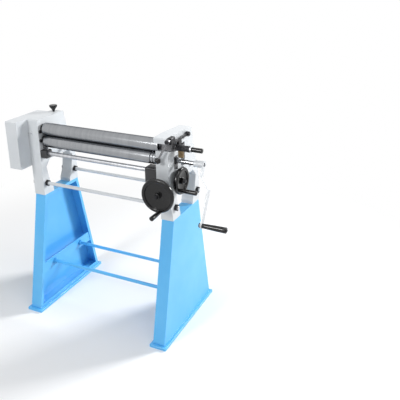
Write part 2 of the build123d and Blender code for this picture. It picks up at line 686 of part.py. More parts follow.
def collar_pair(name, y, z, left_gap):
    """Two thrust collars on a roll's journals, one beside each housing."""
    with BuildPart() as pair:
        for start in (LEFT_INNER + left_gap, RIGHT_INNER - COLLAR_GAP - COLLAR_THICKNESS):
            with BuildSketch(along_x(start, y, z)) as ring:
                Circle(COLLAR_DIAMETER / 2)
                Circle(JOURNAL_DIAMETER / 2, mode=Mode.SUBTRACT)
            extrude(ring.sketch, amount=COLLAR_THICKNESS)
        rims = pair.edges().filter_by(GeomType.CIRCLE).group_by(SortBy.RADIUS)[-1]
        chamfer(rims, length=FINE_EDGE)
    save(pair, name)


collar_pair("lower_roll_collars", ROLL_Y, LOWER_ROLL_Z, COLLAR_GAP)
collar_pair("upper_roll_collars", ROLL_Y, UPPER_ROLL_Z, SWING_COLLAR_GAP)

# ================================================================ bearing blocks

BLOCK_INSET = 0.5          # block's ends, inside the housing's faces
BLOCK_LENGTH = HOUSING_WIDTH - 2 * BLOCK_INSET
BLOCK_EDGE = 1.0


def bearing_block(name, middle, y, z, width, below, above):
    """A bored block that slides up and down in a housing's guide way."""
    with BuildPart() as block:
        with BuildSketch(Plane.YZ.offset(middle - BLOCK_LENGTH / 2)) as face:
            with Locations((y, z + (above - below) / 2)):
                Rectangle(width, above + below)
        extrude(face.sketch, amount=BLOCK_LENGTH)
        chamfer(block.edges(), length=BLOCK_EDGE)
        bore(along_x(middle - HALF_HOUSING, y, z), 2 * BLOCK_BORE, HOUSING_WIDTH)
    save(block, name)


for side, middle, inward in SIDES:
    bearing_block(
        f"{side}_lower_block",
        middle,
        ROLL_Y,
        LOWER_ROLL_Z,
        LOWER_BLOCK_WIDTH,
        LOWER_BLOCK_BELOW,
        LOWER_BLOCK_ABOVE,
    )
    bearing_block(
        f"{side}_rear_block",
        middle,
        REAR_ROLL_Y,
        REAR_ROLL_Z,
        REAR_BLOCK_WIDTH,
        REAR_BLOCK_BELOW,
        REAR_BLOCK_ABOVE,
    )

# screws under the rear blocks, raised by the hidden cross shaft
with BuildPart() as screws:
    for middle in (LEFT_X, RIGHT_X):
        screw_seat = Plane(origin=(middle, REAR_ROLL_Y, REAR_ROLL_Z - REAR_BLOCK_BELOW))
        rod(screw_seat, REAR_SCREW_DIAMETER, -REAR_SCREW_LENGTH)
    chamfer(screws.faces().group_by(Axis.Z)[0].edges(), length=BROKEN_EDGE)
save(screws, "rear_lift_screws")

# ball that lets the upper roll swing at its left end
with BuildPart() as ball:
    ball_half = Plane(origin=(LEFT_X, ROLL_Y, UPPER_ROLL_Z), x_dir=(1, 0, 0), z_dir=(0, -1, 0))
    with BuildSketch(ball_half):
        Circle(BALL_RADIUS)
        with Locations((0, BLOCK_BORE + BALL_RADIUS)):
            Rectangle(2 * BALL_HALF_LENGTH, 2 * BALL_RADIUS, mode=Mode.INTERSECT)
    revolve(axis=Axis(ball_half.origin, (1, 0, 0)))
save(ball, "upper_roll_ball_bushing")

# sliding block at the upper roll's right end, square to the slanted throat
TAIL_CORE_DIAMETER = 14.0
THROAT_DIRECTION = (0, -cos(radians(THROAT_ANGLE)), sin(radians(THROAT_ANGLE)))
block_face = Plane(
    origin=(UPPER_BLOCK_START, ROLL_Y, UPPER_ROLL_Z),
    x_dir=THROAT_DIRECTION,
    z_dir=(-1, 0, 0),
)
with BuildPart() as upper_block:
    with BuildSketch(block_face):
        block_height = THROAT_HEIGHT - 2 * THROAT_BLOCK_CLEARANCE
        Circle(block_height / 2)
        with Locations((UPPER_BLOCK_FRONT / 2, 0)):
            Rectangle(UPPER_BLOCK_FRONT, block_height)
    extrude(amount=-UPPER_BLOCK_LENGTH)
    front_edges = upper_block.faces().sort_by(Axis.Y)[0].edges()
    chamfer(front_edges, length=BLOCK_EDGE)
    bore(
        along_x(UPPER_BLOCK_START - CUT_PAST, ROLL_Y, UPPER_ROLL_Z),
        2 * BLOCK_BORE,
        UPPER_BLOCK_LENGTH - UPPER_BLOCK_FLOOR + CUT_PAST,
    )
    bore(
        along_x(UPPER_BLOCK_START, ROLL_Y, UPPER_ROLL_Z),
        TAIL_CORE_DIAMETER + 2 * THREAD_CLEARANCE,
        UPPER_BLOCK_LENGTH + CUT_PAST,
    )
save(upper_block, "upper_roll_end_block")

# ================================================================ lifting handle on the end block

SLEEVE_START = RIGHT_OUTER + TAIL_START
SLEEVE_END = SLEEVE_START + TAIL_SLEEVE_LENGTH
TAIL_GRIP_START = SLEEVE_END + TAIL_COLLAR_LENGTH
TAIL_END = TAIL_GRIP_START + TAIL_GRIP_LENGTH
TAIL_CORE_SHORT = 5.0      # core bar's end, inside the hollow grip

with BuildPart() as tail_core:
    core_start = UPPER_BLOCK_END - UPPER_BLOCK_FLOOR
    core_length = TAIL_END - TAIL_CORE_SHORT - core_start
    rod(along_x(core_start, ROLL_Y, UPPER_ROLL_Z), TAIL_CORE_DIAMETER, core_length)
    rod(along_x(SLEEVE_END, ROLL_Y, UPPER_ROLL_Z), TAIL_COLLAR_DIAMETER, TAIL_COLLAR_LENGTH)
    rims = tail_core.edges().filter_by(GeomType.CIRCLE).group_by(SortBy.RADIUS)[-1]
    chamfer(rims, length=FINE_EDGE)
save(tail_core, "lift_handle_core")


with BuildPart() as ribbed_sleeve:
    rib_pitch = TAIL_SLEEVE_LENGTH / TAIL_RIBS
    rim = TAIL_SLEEVE_DIAMETER / 2
    sleeve_half = Plane(
        origin=(SLEEVE_START, ROLL_Y, UPPER_ROLL_Z),
        x_dir=(1, 0, 0),
        z_dir=(0, -1, 0),
    )
    outline_points = [(0, TAIL_CORE_DIAMETER / 2 + THREAD_CLEARANCE)]
    for count in range(TAIL_RIBS):
        start = count * rib_pitch
        outline_points.append((start, rim - TAIL_RIB_DEPTH))
        outline_points.append((start + RIB_SLOPE * rib_pitch, rim))
        outline_points.append((start + (1 - RIB_SLOPE) * rib_pitch, rim))
    outline_points.append((TAIL_SLEEVE_LENGTH, rim - TAIL_RIB_DEPTH))
    outline_points.append((TAIL_SLEEVE_LENGTH, TAIL_CORE_DIAMETER / 2 + THREAD_CLEARANCE))
    with BuildSketch(sleeve_half):
        with BuildLine():
            Polyline(*outline_points, close=True)
        make_face()
    revolve(axis=Axis(sleeve_half.origin, (1, 0, 0)))
save(ribbed_sleeve, "lift_handle_ribbed_sleeve")

with BuildPart() as tail_grip:
    rod(along_x(TAIL_GRIP_START, ROLL_Y, UPPER_ROLL_Z), TAIL_GRIP_DIAMETER, TAIL_GRIP_LENGTH)
    chamfer(tail_grip.edges().filter_by(GeomType.CIRCLE), length=BROKEN_EDGE)
    bore(
        along_x(TAIL_GRIP_START, ROLL_Y, UPPER_ROLL_Z),
        TAIL_CORE_DIAMETER + 2 * THREAD_CLEARANCE,
        TAIL_GRIP_LENGTH,
    )
save(tail_grip, "lift_handle_grip")

# bronze lug that hangs under the ribbed sleeve
LUG_WIDTH = 22.0
LUG_THICKNESS = 12.0
LUG_BOTTOM = 857.5
LUG_INSET = 9.0
LUG_CORNER = 3.0
LUG_START = SLEEVE_START + LUG_INSET
with BuildPart() as lug:
    with BuildSketch(Plane.YZ.offset(LUG_START)):
        with Locations((ROLL_Y, (LUG_BOTTOM + UPPER_ROLL_Z) / 2)):
            Rectangle(LUG_THICKNESS, UPPER_ROLL_Z - LUG_BOTTOM)
        with Locations((ROLL_Y, UPPER_ROLL_Z)):
            Circle(TAIL_SLEEVE_DIAMETER / 2 + THREAD_CLEARANCE, mode=Mode.SUBTRACT)
    extrude(amount=LUG_WIDTH)
    lower_edges = lug.faces().sort_by(Axis.Z)[0].edges()
    chamfer(lower_edges, length=LUG_CORNER)
save(lug, "bronze_lug")

# ================================================================ lifting gear

with BuildPart() as lift_shaft:
    bar_gap = 0.5
    neck_start = LEFT_X - CAM_THICKNESS / 2
    neck_end = RIGHT_X + CAM_THICKNESS / 2
    rod(along_x(neck_start, LIFT_SHAFT_Y, LIFT_SHAFT_Z), CAM_NECK_DIAMETER, neck_end - neck_start)
    bar_length = RIGHT_INNER - LEFT_INNER - 2 * bar_gap
    bar_start = LEFT_INNER + bar_gap
    rod(along_x(bar_start, LIFT_SHAFT_Y, LIFT_SHAFT_Z), LIFT_SHAFT_DIAMETER, bar_length)
save(lift_shaft, "lift_cross_shaft")

with BuildPart() as cams:
    for middle in (LEFT_X, RIGHT_X):
        with BuildSketch(along_x(middle - CAM_THICKNESS / 2, LIFT_SHAFT_Y, LIFT_SHAFT_Z)):
            Circle(CAM_HUB_RADIUS)
            with Locations((CAM_ARM * cos(radians(CAM_SWING)), CAM_RISE)):
                Circle(CAM_TIP_RADIUS)
            make_hull()
            Circle(CAM_NECK_DIAMETER / 2 + THREAD_CLEARANCE, mode=Mode.SUBTRACT)
        extrude(amount=CAM_THICKNESS)
save(cams, "lift_cams")

# black bracket at the left and gearbox at the right, which carry the cross shaft
BLOCK_CORNER = 5.0
with BuildPart() as bracket:
    with BuildSketch(Plane.YZ.offset(LEFT_INNER)):
        bracket_middle = LIFT_SHAFT_Z + (BRACKET_ABOVE - BRACKET_BELOW) / 2
        with Locations((LIFT_SHAFT_Y, bracket_middle)):
            RectangleRounded(BRACKET_WIDTH, BRACKET_ABOVE + BRACKET_BELOW, BLOCK_CORNER)
    extrude(amount=BRACKET_LENGTH)
    chamfer(bracket.faces().sort_by(Axis.X)[-1].edges(), length=BROKEN_EDGE)
    bore(
        along_x(LEFT_INNER, LIFT_SHAFT_Y, LIFT_SHAFT_Z),
        LIFT_SHAFT_DIAMETER + 2 * SHAFT_CLEARANCE,
        BRACKET_LENGTH,
    )
save(bracket, "left_lift_bracket")

GEARBOX_REAR = LIFT_SHAFT_Y + GEARBOX_BEHIND
LID_CORNER = 4.0
LID_BORDER = 7.0
LID_DEPTH = 2.5
with BuildPart() as gearbox:
    gearbox_middle = LIFT_SHAFT_Z + (BRACKET_ABOVE - GEARBOX_BELOW) / 2
    gearbox_height = BRACKET_ABOVE + GEARBOX_BELOW
    gearbox_y = GEARBOX_REAR - GEARBOX_WIDTH / 2
    with BuildSketch(Plane.YZ.offset(RIGHT_INNER - GEARBOX_LENGTH)):
        with Locations((gearbox_y, gearbox_middle)):
            RectangleRounded(GEARBOX_WIDTH, gearbox_height, BLOCK_CORNER)
    extrude(amount=GEARBOX_LENGTH)
    chamfer(gearbox.faces().sort_by(Axis.X)[0].edges(), length=BROKEN_EDGE)
    lid_x = RIGHT_INNER - GEARBOX_LENGTH / 2
    with BuildSketch(along_y(lid_x, GEARBOX_REAR - GEARBOX_WIDTH, gearbox_middle)):
        lid_height = gearbox_height - 2 * LID_BORDER
        RectangleRounded(GEARBOX_LENGTH - 2 * LID_BORDER, lid_height, LID_CORNER)
    extrude(amount=LID_DEPTH)
    bore(
        along_x(RIGHT_INNER - GEARBOX_LENGTH, LIFT_SHAFT_Y, LIFT_SHAFT_Z),
        LIFT_SHAFT_DIAMETER + 2 * SHAFT_CLEARANCE,
        GEARBOX_LENGTH,
    )
save(gearbox, "lift_gearbox")

REAR_SHAFT_INSET = 1.5
with BuildPart() as rear_shaft:
    rear_shaft_start = LEFT_OUTER + REAR_SHAFT_INSET
    rear_shaft_length = RIGHT_OUTER - REAR_SHAFT_INSET - rear_shaft_start
    rod(
        along_x(rear_shaft_start, REAR_SHAFT_Y, REAR_SHAFT_Z),
        REAR_SHAFT_DIAMETER,
        rear_shaft_length,
    )
    chamfer(rear_shaft.edges().filter_by(GeomType.CIRCLE), length=FINE_EDGE)
save(rear_shaft, "rear_cross_shaft")

# ================================================================ roll gears

GEAR_MODULE = ROLL_PITCH / GEAR_TEETH
PITCH_RADIUS = ROLL_PITCH / 2
PRESSURE_ANGLE = 20.0
ADDENDUM = 0.9             # in modules
DEDENDUM = 1.2
GEAR_HUB_WALL = 5.0
BASE_RADIUS = PITCH_RADIUS * cos(radians(PRESSURE_ANGLE))
TIP_RADIUS = PITCH_RADIUS + ADDENDUM * GEAR_MODULE
ROOT_RADIUS = PITCH_RADIUS - DEDENDUM * GEAR_MODULE
FLANK_STEPS = 5


def involute(parameter):
    """How far an involute leans away from its start, as an angle in radians."""
    return tan(parameter) - parameter


def half_angle(radius):
    """Half of a tooth's thickness at a radius, as an angle in radians."""
    at_pitch = (pi * GEAR_MODULE / 2 - GEAR_BACKLASH / 2) / PITCH_RADIUS / 2
    lean_at_pitch = involute(radians(PRESSURE_ANGLE))
    pressure = 0.0
    if radius > BASE_RADIUS:
        cosine = BASE_RADIUS / radius
        pressure = atan(sqrt(1 - cosine * cosine) / cosine)
    return at_pitch + lean_at_pitch - involute(pressure)


def gear_points(first_tooth):
    """Points round a gear; the first tooth's middle is at the given angle."""
    points = []
    for tooth in range(GEAR_TEETH):
        middle = radians(first_tooth) + tooth * 2 * pi / GEAR_TEETH
        flank = []
        flank.append((ROOT_RADIUS, half_angle(BASE_RADIUS)))
        for step in range(FLANK_STEPS):
            share = step / (FLANK_STEPS - 1)
            radius = BASE_RADIUS + share * (TIP_RADIUS - BASE_RADIUS)
            flank.append((radius, half_angle(radius)))
        for radius, angle in flank:
            turn = middle - angle
            points.append((radius * cos(turn), radius * sin(turn)))
        for radius, angle in reversed(flank):
            turn = middle + angle
            points.append((radius * cos(turn), radius * sin(turn)))
    return points


def roll_gear(name, z, bore_diameter, first_tooth):
    """A spur gear on a roll's shaft, with a hub toward the housing."""
    with BuildPart() as gear:
        with BuildSketch(along_x(GEAR_OUTER_X, ROLL_Y, z)) as wheel:
            with BuildLine():
                Polyline(*gear_points(first_tooth), close=True)
            make_face()
            Circle(bore_diameter / 2, mode=Mode.SUBTRACT)
        extrude(wheel.sketch, amount=GEAR_WIDTH)
        hub = GEAR_SIDE_GAP - 2 * SHAFT_STANDOUT
        with BuildSketch(along_x(GEAR_INNER_X, ROLL_Y, z)) as ring:
            Circle(bore_diameter / 2 + GEAR_HUB_WALL)
            Circle(bore_diameter / 2, mode=Mode.SUBTRACT)
        extrude(ring.sketch, amount=hub)
    save(gear, name)


roll_gear("lower_roll_gear", LOWER_ROLL_Z, JOURNAL_DIAMETER, 90.0)
roll_gear("upper_roll_gear", UPPER_ROLL_Z, STUB_DIAMETER, 270.0 + 180.0 / GEAR_TEETH)

with BuildPart() as stub:
    stub_start = GEAR_OUTER_X - SHAFT_STANDOUT
    stub_length = LEFT_OUTER + STUB_SEAT_LENGTH - stub_start
    rod(along_x(stub_start, ROLL_Y, UPPER_ROLL_Z), STUB_DIAMETER, stub_length)
    chamfer(stub.faces().sort_by(Axis.X)[0].edges(), length=FINE_EDGE)
save(stub, "upper_gear_stub")

# ================================================================ gear cover

COVER_START = LEFT_OUTER - COVER_WIDTH
COVER_DEPTH = COVER_REAR - COVER_FRONT
COVER_HEIGHT = HOUSING_TOP - COVER_BOTTOM
COVER_LAP = 6.0            # cover wall left on the housing's face round the opening


def cover_block(inset, start, length):
    """The cover's side shape, drawn in by the inset."""
    with BuildSketch(Plane.YZ.offset(start)) as face:
        with Locations(((COVER_FRONT + COVER_REAR) / 2, (COVER_BOTTOM + HOUSING_TOP) / 2)):
            corner = COVER_CORNER if inset == 0 else COVER_CORNER - COVER_SHEET
            RectangleRounded(COVER_DEPTH - 2 * inset, COVER_HEIGHT - 2 * inset, corner)
    return face.sketch


with BuildPart() as cover:
    extrude(cover_block(0, COVER_START, COVER_WIDTH), amount=COVER_WIDTH)
    chamfer(cover.faces().sort_by(Axis.X)[0].edges(), length=BROKEN_EDGE)
    hollow = cover_block(COVER_SHEET, COVER_START + COVER_SHEET, COVER_WIDTH)
    extrude(hollow, amount=COVER_WIDTH - 2 * COVER_SHEET, mode=Mode.SUBTRACT)
    mouth_front = HOUSING_FRONT + COVER_LAP
    mouth_rear = COVER_REAR - COVER_SHEET
    with BuildSketch(Plane.YZ.offset(LEFT_OUTER - COVER_SHEET)):
        mouth_middle = (COVER_BOTTOM + HOUSING_TOP) / 2
        with Locations(((mouth_front + mouth_rear) / 2, mouth_middle)):
            Rectangle(mouth_rear - mouth_front, COVER_HEIGHT - 2 * COVER_SHEET)
    extrude(amount=COVER_SHEET, mode=Mode.SUBTRACT)
    # folded tab in front of the housing
    with BuildSketch(along_y(LEFT_OUTER + TAB_REACH / 2, HOUSING_FRONT, TAB_Z)):
        Rectangle(TAB_REACH, TAB_HEIGHT)
        with GridLocations(TAB_SCREW_PITCH, 0, 2, 1):
            Circle(SCREW_DIAMETER / 2 + THREAD_CLEARANCE, mode=Mode.SUBTRACT)
    extrude(amount=COVER_SHEET)
save(cover, "gear_cover")

with BuildPart() as cover_screws:
    head_plane = along_y(LEFT_OUTER + TAB_REACH / 2, HOUSING_FRONT - COVER_SHEET, TAB_Z)
    with BuildSketch(head_plane):
        with GridLocations(TAB_SCREW_PITCH, 0, 2, 1):
            Circle(SCREW_HEAD_DIAMETER / 2)
    extrude(amount=SCREW_HEAD_HEIGHT)
    chamfer(cover_screws.faces().sort_by(Axis.Y)[:2].edges(), length=BAR_EDGE)
    with BuildSketch(head_plane):
        with GridLocations(TAB_SCREW_PITCH, 0, 2, 1):
            Circle(SCREW_DIAMETER / 2)
    extrude(amount=-COVER_SHEET)
save(cover_screws, "cover_screws")

# ================================================================ crank

SHAFT_COLLAR_LENGTH = 6.0
CRANK_OUT = (0, -sin(radians(CRANK_ANGLE)), -cos(radians(CRANK_ANGLE)))
CRANK_ACROSS = (0, -cos(radians(CRANK_ANGLE)), sin(radians(CRANK_ANGLE)))
GRIP_Y = ROLL_Y + CRANK_RADIUS * CRANK_OUT[1]
GRIP_Z = LOWER_ROLL_Z + CRANK_RADIUS * CRANK_OUT[2]

with BuildPart() as shaft_collar:
    with BuildSketch(along_x(RIGHT_OUTER + COLLAR_GAP, ROLL_Y, LOWER_ROLL_Z)):
        Circle(CRANK_HUB_DIAMETER / 2)
        Circle(CRANK_SHAFT_DIAMETER / 2, mode=Mode.SUBTRACT)
    extrude(amount=SHAFT_COLLAR_LENGTH)
save(shaft_collar, "crank_shaft_collar")

with BuildPart() as crank_hub:
    with BuildSketch(along_x(ARM_X - CRANK_HUB_LENGTH, ROLL_Y, LOWER_ROLL_Z)):
        Circle(CRANK_HUB_DIAMETER / 2)
        Circle(CRANK_SHAFT_DIAMETER / 2, mode=Mode.SUBTRACT)
    extrude(amount=CRANK_HUB_LENGTH)
    chamfer(crank_hub.faces().sort_by(Axis.X)[0].edges(), length=FINE_EDGE)
save(crank_hub, "crank_hub")

ARM_EYE = 17.0
ARM_TIP = 13.0
JOGGLE_LEAN = 3.0          # inner bend line to the outer one
with BuildPart() as crank_arm:
    arm_side = Plane(
        origin=(ARM_X, ROLL_Y, LOWER_ROLL_Z),
        x_dir=CRANK_OUT,
        z_dir=CRANK_ACROSS,
    )
    with BuildSketch(arm_side) as arm_profile:
        with BuildLine():
            Polyline(
                (-ARM_EYE, 0),
                (JOGGLE_START, 0),
                (JOGGLE_END, CRANK_JOGGLE),
                (CRANK_RADIUS + ARM_TIP, CRANK_JOGGLE),
                (CRANK_RADIUS + ARM_TIP, CRANK_JOGGLE + CRANK_ARM_THICKNESS),
                (JOGGLE_END - JOGGLE_LEAN, CRANK_JOGGLE + CRANK_ARM_THICKNESS),
                (JOGGLE_START - JOGGLE_LEAN, CRANK_ARM_THICKNESS),
                (-ARM_EYE, CRANK_ARM_THICKNESS),
                close=True,
            )
        make_face()
    extrude(amount=ARM_EYE, both=True)
    arm_face = Plane(
        origin=(ARM_X - CUT_PAST, ROLL_Y, LOWER_ROLL_Z),
        x_dir=CRANK_OUT,
        z_dir=(1, 0, 0),
    )
    with BuildSketch(arm_face) as arm_plan:
        Circle(ARM_EYE)
        with Locations((CRANK_RADIUS / 2, 0)):
            Rectangle(CRANK_RADIUS, CRANK_ARM_WIDTH)
        with Locations((CRANK_RADIUS, 0)):
            Circle(ARM_TIP)
            Circle(CRANK_PIN_DIAMETER / 2 + THREAD_CLEARANCE, mode=Mode.SUBTRACT)
        Circle(CRANK_SHAFT_DIAMETER / 2 + THREAD_CLEARANCE, mode=Mode.SUBTRACT)
    plan_depth = CRANK_JOGGLE + CRANK_ARM_THICKNESS + 2 * CUT_PAST
    extrude(amount=plan_depth, mode=Mode.INTERSECT)
save(crank_arm, "crank_arm")


def turned_grip(plane, length, root, swell, bore_diameter):
    """A revolving hand grip, turned to a soft swelling outline."""
    half = Plane(origin=plane.origin, x_dir=plane.x_dir, z_dir=-plane.y_dir)
    outline_points = [(bore_diameter / 2, length), (bore_diameter / 2, 0)]
    for step in range(GRIP_STEPS + 1):
        share = step / GRIP_STEPS
        radius = (root + (swell - root) * sin(share * radians(GRIP_SWELL_ANGLE))) / 2
        outline_points.append((radius, share * (length - GRIP_END_BEVEL)))
    outline_points.append((radius - GRIP_END_BEVEL, length))
    with BuildSketch(half) as outline:
        with BuildLine():
            Polyline(*outline_points, close=True)
        make_face()
    revolve(outline.sketch, axis=Axis(plane.origin, plane.z_dir))


grip_start = ARM_END_X + GRIP_CLEARANCE
with BuildPart() as crank_grip:
    turned_grip(
        along_x(grip_start, GRIP_Y, GRIP_Z),
        CRANK_GRIP_LENGTH,
        CRANK_GRIP_ROOT,
        CRANK_GRIP_DIAMETER,
        CRANK_PIN_DIAMETER + 2 * GRIP_CLEARANCE,
    )
save(crank_grip, "crank_grip")

PIN_NUT = 17.0
PIN_NUT_THICKNESS = 9.0
PIN_STANDOUT = 1.0         # pin's end past the nut
PIN_CAP_DIAMETER = 14.0
PIN_CAP_THICKNESS = 3.0
with BuildPart() as crank_pin:
    pin_start = ARM_OUT_X - PIN_NUT_THICKNESS
    pin_end = grip_start + CRANK_GRIP_LENGTH + GRIP_CLEARANCE
    rod(along_x(pin_start, GRIP_Y, GRIP_Z), CRANK_PIN_DIAMETER, pin_end - pin_start)
    rod(along_x(pin_end, GRIP_Y, GRIP_Z), PIN_CAP_DIAMETER, PIN_CAP_THICKNESS)
    chamfer(crank_pin.faces().sort_by(Axis.X)[-1].edges(), length=FINE_EDGE)
    with BuildSketch(along_x(pin_start + PIN_STANDOUT, GRIP_Y, GRIP_Z)):
        RegularPolygon(radius=PIN_NUT / 2, side_count=6, major_radius=False)
    extrude(amount=PIN_NUT_THICKNESS - PIN_STANDOUT)
save(crank_pin, "crank_grip_pin")

# ================================================================ handwheels

HUB_STANDOUT = 2.0
WHEEL_DISH = 5.0
GRIP_PIN_DIAMETER = 8.0
GRIP_PIN_CAP = 11.0
GRIP_PIN_CAP_HEIGHT = 2.5
SPINDLE_CAP_HEIGHT = 9.0
RIM_CORNER = 4.5
RIM_BEVEL = 3.0
CAP_TAPER = 18.0


def handwheel(plane, diameter):
    """A dished disc wheel with a thick rim, turned about the plane's normal."""
    radius = diameter / 2
    rim = radius - WHEEL_RIM_WALL
    hub = WHEEL_HUB_DIAMETER / 2
    bore_radius = SPINDLE_DIAMETER / 2
    half = Plane(origin=plane.origin, x_dir=plane.x_dir, z_dir=-plane.y_dir)
    with BuildSketch(half) as section:
        with BuildLine():
            Polyline(
                (bore_radius, -HUB_STANDOUT),
                (hub, -HUB_STANDOUT),
                (hub, WHEEL_DISH - HUB_STANDOUT),
                (rim, WHEEL_DISH + HUB_STANDOUT),
                (rim + RIM_BEVEL, 0),
                (radius, 0),
                (radius, WHEEL_RIM),
                (rim, WHEEL_RIM),
                (rim, WHEEL_DISH + HUB_STANDOUT + WHEEL_DISC),
                (hub, WHEEL_DISH - HUB_STANDOUT + WHEEL_DISC),
                (hub, WHEEL_RIM + HUB_STANDOUT),
                (bore_radius, WHEEL_RIM + HUB_STANDOUT),
                close=True,
            )
        make_face()
        chamfer(section.vertices().group_by(Axis.X)[-1], length=RIM_CORNER)
    revolve(section.sketch, axis=Axis(plane.origin, plane.z_dir))


def spindle(seat_plane, length):
    """A spindle from its seat to the wheel's face, closed by a round cap."""
    rod(seat_plane, SPINDLE_DIAMETER, length)
    with BuildSketch(seat_plane.offset(length)) as cap:
        Circle(SPINDLE_CAP_DIAMETER / 2)
    extrude(cap.sketch, amount=SPINDLE_CAP_HEIGHT, taper=CAP_TAPER)


def wheel_grip_plane(plane, diameter, angle):
    """Plane on the wheel's face, centred on the grip's pin."""
    reach = diameter / 2 - WHEEL_GRIP_INSET
    offset_x = plane.x_dir * (reach * cos(radians(angle)))
    offset_y = plane.y_dir * (reach * sin(radians(angle)))
    centre = plane.origin + offset_x + offset_y + plane.z_dir * WHEEL_RIM
    return Plane(origin=centre, x_dir=plane.x_dir, z_dir=plane.z_dir)


front_back = BULGE_FRONT - FRONT_WHEEL_FACE + WHEEL_RIM
side_back = RIGHT_OUTER + SIDE_WHEEL_FACE - WHEEL_RIM
WHEELS = (
    (
        "front",
        along_y(RIGHT_X, front_back, FRONT_WHEEL_Z),
        along_y(RIGHT_X, BULGE_FRONT + SPINDLE_SEAT, FRONT_WHEEL_Z),
        FRONT_WHEEL_DIAMETER,
        FRONT_GRIP_ANGLE,
        FRONT_GRIP_LENGTH,
    ),
    (
        "side",
        along_x(side_back, SIDE_WHEEL_Y, SIDE_WHEEL_Z),
        along_x(RIGHT_OUTER - SIDE_SPINDLE_SEAT, SIDE_WHEEL_Y, SIDE_WHEEL_Z),
        SIDE_WHEEL_DIAMETER,
        SIDE_GRIP_ANGLE,
        SIDE_GRIP_LENGTH,
    ),
)

for place, wheel_plane, seat_plane, diameter, angle, grip_length in WHEELS:
    # the grip's pin is pressed and peened into the rim
    pin_plane = wheel_grip_plane(wheel_plane, diameter, angle)
    with BuildPart() as wheel:
        handwheel(wheel_plane, diameter)
        rod(pin_plane, GRIP_PIN_DIAMETER, grip_length + 3 * GRIP_CLEARANCE)
        rod(pin_plane.offset(grip_length + 2 * GRIP_CLEARANCE), GRIP_PIN_CAP, GRIP_PIN_CAP_HEIGHT)
    save(wheel, f"{place}_handwheel")

    reach = abs((wheel_plane.origin - seat_plane.origin).dot(wheel_plane.z_dir))
    with BuildPart() as wheel_spindle:
        spindle(seat_plane, reach + WHEEL_RIM + HUB_STANDOUT)
    save(wheel_spindle, f"{place}_wheel_spindle")

    with BuildPart() as grip:
        turned_grip(
            pin_plane.offset(GRIP_CLEARANCE),
            grip_length,
            WHEEL_GRIP_ROOT,
            WHEEL_GRIP_DIAMETER,
            GRIP_PIN_DIAMETER + 2 * GRIP_CLEARANCE,
        )
    save(grip, f"{place}_wheel_grip")

# bosses on the right housing
FRONT_BOSS_LENGTH = 29.0
SIDE_BOSS_DIAMETER = 26.0
SIDE_BOSS_LENGTH = 11.5
with BuildPart() as bosses:
    with BuildSketch(along_y(RIGHT_X, BULGE_FRONT, FRONT_WHEEL_Z)):
        Circle(BOSS_DIAMETER / 2)
        Circle(SPINDLE_DIAMETER / 2 + SHAFT_CLEARANCE, mode=Mode.SUBTRACT)
    extrude(amount=FRONT_BOSS_LENGTH)
    with BuildSketch(along_x(RIGHT_OUTER, SIDE_WHEEL_Y, SIDE_WHEEL_Z)):
        Circle(SIDE_BOSS_DIAMETER / 2)
        Circle(SPINDLE_DIAMETER / 2 + SHAFT_CLEARANCE, mode=Mode.SUBTRACT)
    extrude(amount=SIDE_BOSS_LENGTH)
save(bosses, "spindle_bosses")

# small lever that clamps the side spindle
LOCK_GAP = 2.0
LOCK_X = RIGHT_OUTER + LOCK_GAP
LOCK_RING_DIAMETER = 36.0
LOCK_RING_LENGTH = 9.0
LOCK_ANGLE = 40.0
LOCK_REACH = 68.0
LOCK_ROD_DIAMETER = 5.0
LOCK_BALL_RADIUS = 5.0
with BuildPart() as lock_lever:
    lock_plane = along_x(LOCK_X, SIDE_WHEEL_Y, SIDE_WHEEL_Z)
    rod(lock_plane, LOCK_RING_DIAMETER, LOCK_RING_LENGTH)
    lock_y = cos(radians(LOCK_ANGLE))
    lock_z = sin(radians(LOCK_ANGLE))
    lock_middle = LOCK_X + LOCK_RING_LENGTH / 2
    lock_rod = Plane(origin=(lock_middle, SIDE_WHEEL_Y, SIDE_WHEEL_Z), z_dir=(0, lock_y, lock_z))
    rod(lock_rod, LOCK_ROD_DIAMETER, LOCK_REACH)
    ball_y = SIDE_WHEEL_Y + LOCK_REACH * lock_y
    ball_z = SIDE_WHEEL_Z + LOCK_REACH * lock_z
    with Locations((lock_middle, ball_y, ball_z)):
        Sphere(LOCK_BALL_RADIUS)
    bore(lock_plane, SIDE_BOSS_DIAMETER + 2 * GRIP_CLEARANCE, LOCK_RING_LENGTH)
save(lock_lever, "side_lock_lever")

# ================================================================ latch

PAD_FRONT = -84.0
PAD_REAR = -60.0
PAD_BOTTOM = 907.0
LATCH_X = RIGHT_OUTER + BAR_OFFSET
BAR_BOTTOM = LATCH_BAR_Z - LATCH_BAR_HEIGHT / 2
with BuildPart() as latch_bar:
    with BuildSketch(Plane.YZ.offset(LATCH_X)):
        with Locations(((LATCH_BAR_FRONT + LATCH_PIVOT_Y) / 2, LATCH_BAR_Z)):
            Rectangle(LATCH_PIVOT_Y - LATCH_BAR_FRONT, LATCH_BAR_HEIGHT)
        with Locations(((PAD_FRONT + PAD_REAR) / 2, (PAD_BOTTOM + LATCH_BAR_Z) / 2)):
            Rectangle(PAD_REAR - PAD_FRONT, LATCH_BAR_Z - PAD_BOTTOM)
        with Locations((LATCH_PIVOT_Y, LATCH_BAR_Z)):
            Circle(LATCH_EYE_DIAMETER / 2)
            Circle(LATCH_PIVOT_DIAMETER / 2 + SHAFT_CLEARANCE, mode=Mode.SUBTRACT)
        with Locations((ROLL_Y, UPPER_ROLL_Z)):
            Circle(TAIL_SLEEVE_DIAMETER / 2 + GRIP_CLEARANCE, mode=Mode.SUBTRACT)
    extrude(amount=LATCH_BAR_THICKNESS)
save(latch_bar, "latch_bar")

